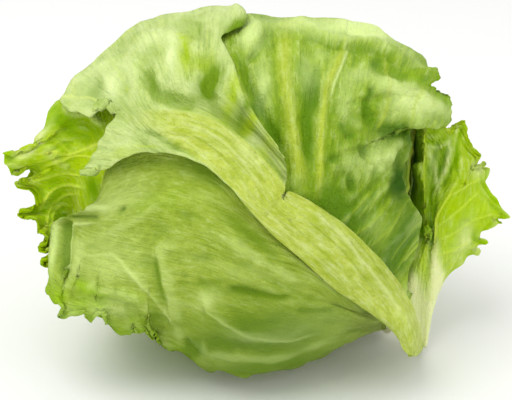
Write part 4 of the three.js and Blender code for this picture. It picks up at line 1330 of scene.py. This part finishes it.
# what the hidden leaves share: seeds count on from each leaf's own
hiddenShape = {
    "lattice": (150, 100), "thickness": 0.75, "ribThickness": 2.4, "tint": (0.45, 0.35), "outer": (0.35, 0.8),
    "midrib": (1.8, 9.0, 1.2),
    "veins": {"height": 1.0, "spacing": 16.0, "slant": 0.75, "width": 1.3, "first": 14.0, "offset": 0.45,
              "wobble": 2.2, "taperLength": 22.0, "paint": 0.7},
    "toothSizes": [(26.0, 5.0), (6.0, 2.4)],
    "toothedEdges": [(None, 4, "fromTip", 0), ("outer", 5, "fromRight", 1), ("outer", 6, "fromLeft", -1)],
}


def makeHiddenLeaf(node, ownShape, material):
    seed = ownShape["seed"]
    leaf = {**hiddenShape, **ownShape, "node": node}
    leaf["rails"] = []
    for side, key in ((-1, "left"), (0, "rib"), (1, "right")):
        last = len(leaf[key]) - 1
        leaf["rails"].append((side, [turned(k / last, *spot) for k, spot in enumerate(leaf[key])]))
    leaf["wrinkles"] = [("blade", 0.8, 50.0, 10.0, seed + 8)]
    leaf["crumples"] = [("blade", seed + 1, (1.2, 20.0), (0.6, 9.0), (0.25, 4.5))]
    leaf["puckers"] = [("blade", 0.9, 9.0, 6.5, seed + 2, 0.12)]
    leaf["frills"] = [("outer", 1.4, 11.0, 10.0, seed + 3, "fromSides", "edgeLength"),
                      (None, 1.4, 11.0, 10.0, seed + 7, "fromTip", "sideLength")]
    leaf["teeth"] = [(part, depth, length, 4.0 + 2 * depth, seed + step, edge, sign)
                     for length, depth in leaf["toothSizes"]
                     for part, step, edge, sign in leaf["toothedEdges"]]
    sheet = spanSheet(leaf)
    midrib(sheet, *leaf["midrib"])
    sideVeins(sheet, leaf["veins"], seed)
    drawFeatures(sheet, leaf)
    outer = easeBetween(sheet["along"], *leaf["outer"])
    finishSurface(sheet, leaf, {"blade": 1 - sheet["paint"]["rib"], "outer": outer})
    paintReliefShadeAndSheen(sheet, *leaf["tint"])
    sheetObject(node.replace("_", ""), sheet, material, leaf)


# packed middle: a ball of overlapping leaf edges
heartLook = {"depthUnder": 15.2, "floor": 5.4, "segments": 96, "rings": 60, "edges": 7, "edgeHeight": 1.2,
             "edgeTwist": 0.8, "mapAlong": 0.055, "mapAcross": 0.04}


def makeHeart(material):
    ball = bmesh.new()
    segments, rings = heartLook["segments"], heartLook["rings"]
    bmesh.ops.create_uvsphere(ball, u_segments=segments, v_segments=rings, radius=1.0)
    for vertex in ball.verts:
        spot = vertex.co
        direction = spot.z * stemAxis + spot.x * frontSide + spot.y * turnSide
        around = math.atan2(spot.y, spot.x) / (2 * math.pi) * heartLook["edges"]
        swirl = (around + heartLook["edgeTwist"] * spot.z) % 1.0
        radius = float(plainRadius(direction[None, :])[0]) - heartLook["depthUnder"]
        radius -= heartLook["edgeHeight"] * swirl * (1 - abs(spot.z))
        placed = toWorld((direction * radius)[None, :])[0]
        placed[2] = max(placed[2], heartLook["floor"])
        vertex.co = Vector(placed * metresPerMm)
    bmesh.ops.remove_doubles(ball, verts=ball.verts, dist=1e-6)
    bmesh.ops.recalc_face_normals(ball, faces=ball.faces)
    leafMap = ball.loops.layers.uv.new("leafMap")
    viewAxes = np.stack([tiltRight, tiltUp, tiltToward])
    for face in ball.faces:
        for loop in face.loops:
            local = viewAxes @ (np.array(loop.vert.co) / metresPerMm - headCentre)
            along = math.acos(max(-1.0, min(1.0, local @ stemAxis / np.linalg.norm(local))))
            across = math.atan2(local @ turnSide, local @ frontSide)
            loop[leafMap].uv = (along * heartLook["mapAlong"], across * heartLook["mapAcross"])
    mesh = bpy.data.meshes.new("heart")
    ball.to_mesh(mesh)
    ball.free()
    piece = addPiece("heartBall", mesh, material)
    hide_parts("heart")
    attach(piece, "root")


# cut stem: a short plug with a rounded cut edge and a ringed cut face
stemLook = {"outerEnd": 92, "innerEnd": 70, "radius": 10.6, "innerShare": 0.82, "sides": 48, "rounding": 1.4,
            "roundingSteps": 4, "ringWidth": 1.9, "ringDepths": (0.1, -0.25, 0.1, 0.1),
            "bark": ((0.03, 5, 1), (0.02, 9, 0)), "colours": ((0.90, 0.91, 0.76), (0.82, 0.82, 0.62)),
            "patchScale": 120.0, "roughness": 0.6, "softness": 0.25, "softRadius": (1.2, 1.6, 0.5),
            "bumpStrength": 0.5, "bumpHeight": 0.0008}


def makeStem(material):
    plug = bmesh.new()
    radius = stemLook["radius"]
    length = stemLook["outerEnd"] - stemLook["innerEnd"]
    bmesh.ops.create_cone(plug, cap_ends=True, segments=stemLook["sides"],
                          radius1=radius * stemLook["innerShare"], radius2=radius, depth=length)
    rim = [edge for edge in plug.edges if all(vertex.co.z > 0 for vertex in edge.verts)]
    bmesh.ops.bevel(plug, geom=rim, offset=stemLook["rounding"], offset_type="OFFSET", profile=0.5,
                    segments=stemLook["roundingSteps"], affect="EDGES", clamp_overlap=True, material=-1)
    top = [face for face in plug.faces if face.normal.z > 0.99]
    for depth in stemLook["ringDepths"]:
        bmesh.ops.inset_region(plug, faces=top, thickness=stemLook["ringWidth"], depth=depth)
    middle = (stemLook["outerEnd"] + stemLook["innerEnd"]) / 2
    for vertex in plug.verts:
        spot = np.array(vertex.co)
        turn = math.atan2(spot[1], spot[0])
        wave = 1 + sum(height * math.sin(count * turn + start) for height, count, start in stemLook["bark"])
        tilted = (middle + spot[2]) * stemAxis + wave * (spot[0] * frontSide + spot[1] * turnSide)
        vertex.co = Vector(toWorld(tilted[None, :])[0] * metresPerMm)
    bmesh.ops.recalc_face_normals(plug, faces=plug.faces)
    mesh = bpy.data.meshes.new("stem")
    plug.to_mesh(mesh)
    plug.free()
    piece = addPiece("cutStem", mesh, material)
    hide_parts("stem")
    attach(piece, "root")


def stemMaterial():
    material, tree, shader = newMaterial("stemTissue")
    place = addNode(tree, "ShaderNodeTexCoord").outputs["Object"]
    scale = stemLook["patchScale"]
    patches = rangeNode(tree, noiseNode(tree, place, scale, 5.0, 0.6), 0.35, 0.65)
    colour = mixColours(tree, patches, *[lightValues(tone) for tone in stemLook["colours"]])
    tree.links.new(colour, shader.inputs["Base Color"])
    fibres = noiseNode(tree, place, scale * 6, 3.0, 0.6)
    normal = bumpNormal(tree, fibres, stemLook["bumpStrength"], stemLook["bumpHeight"])
    tree.links.new(normal, shader.inputs["Normal"])
    shader.inputs["Roughness"].default_value = stemLook["roughness"]
    softGlow(shader, stemLook["softness"], stemLook["softRadius"])
    return material


# pale floor, soft light from the upper left and a low fill: place in metres, size and power
studio = {
    "floorSize": 6.0, "floorColour": (0.97, 0.97, 0.965), "floorRoughness": 0.9, "floorGloss": 0.1,
    "worldStrength": 0.82,
    "lights": {"keyLight": ((-0.55, -0.55, 1.65), 1.3, 14.0), "fillLight": ((1.2, -1.0, 0.7), 1.2, 3.0)},
}


def softLight(name, place, size, power):
    lamp = bpy.data.lights.new(name, "AREA")
    lamp.shape = "DISK"
    lamp.size = size
    lamp.energy = power
    light = bpy.data.objects.new(name, lamp)
    bpy.context.scene.collection.objects.link(light)
    direction = Vector(headCentre * metresPerMm) - Vector(place)
    turn = direction.to_track_quat("-Z", "Y").to_matrix().to_4x4()
    light.matrix_world = Matrix.Translation(Vector(place)) @ turn


def makeStudio():
    scene = bpy.context.scene
    floorMesh = bmesh.new()
    bmesh.ops.create_grid(floorMesh, x_segments=2, y_segments=2, size=studio["floorSize"] / 2)
    mesh = bpy.data.meshes.new("floor")
    floorMesh.to_mesh(mesh)
    floorMesh.free()
    floor = bpy.data.objects.new("studioFloor", mesh)
    scene.collection.objects.link(floor)
    paper, tree, paperShader = newMaterial("palePaper")
    paperShader.inputs["Base Color"].default_value = lightValues(studio["floorColour"])
    paperShader.inputs["Roughness"].default_value = studio["floorRoughness"]
    paperShader.inputs["Specular IOR Level"].default_value = studio["floorGloss"]
    mesh.materials.append(paper)
    world = bpy.data.worlds.new("studioAir")
    world.use_nodes = True
    fill(world.node_tree, world.node_tree.nodes["Background"].inputs, ((1, 1, 1, 1), studio["worldStrength"]))
    scene.world = world
    for name, (place, size, power) in studio["lights"].items():
        softLight(name, place, size, power)
    cameraData = bpy.data.cameras.new("photoCamera")
    cameraData.lens = photoView["lens"]
    cameraData.sensor_width = photoView["sensor"]
    cameraData.sensor_fit = "HORIZONTAL"
    cameraData.clip_end = photoView["clipEnd"]
    camera = bpy.data.objects.new("photoCamera", cameraData)
    scene.collection.objects.link(camera)
    axes = np.stack([tiltRight, tiltUp, tiltToward], 1)
    turn = Matrix([list(row) for row in axes]).to_4x4()
    camera.matrix_world = Matrix.Translation(Vector(cameraPlace * metresPerMm)) @ turn
    scene.camera = camera
    scene.view_settings.view_transform = "Standard"


makeStudio()
print("studio ready")

makeFrontLeaf(leafMaterial("frontLeafTissue", basicLook))
makeLowerLeaf(leafMaterial("lowerLeafTissue", lowerLook))
makeUpperLeaf(leafMaterial("upperLeafTissue", upperLook))
flaredMaterial = leafMaterial("flaredLeafTissue", flaredLook)
makeRightLeaf(flaredMaterial)
makeLeftLeaf(flaredMaterial)
print("shown leaves ready")
hiddenMaterial = leafMaterial("hiddenLeafTissue", hiddenLook)
for node, ownShape in hiddenLeaves.items():
    makeHiddenLeaf(node, ownShape, hiddenMaterial)
makeHeart(leafMaterial("heartTissue", heartTissue))
makeStem(stemMaterial())
print("all pieces ready")
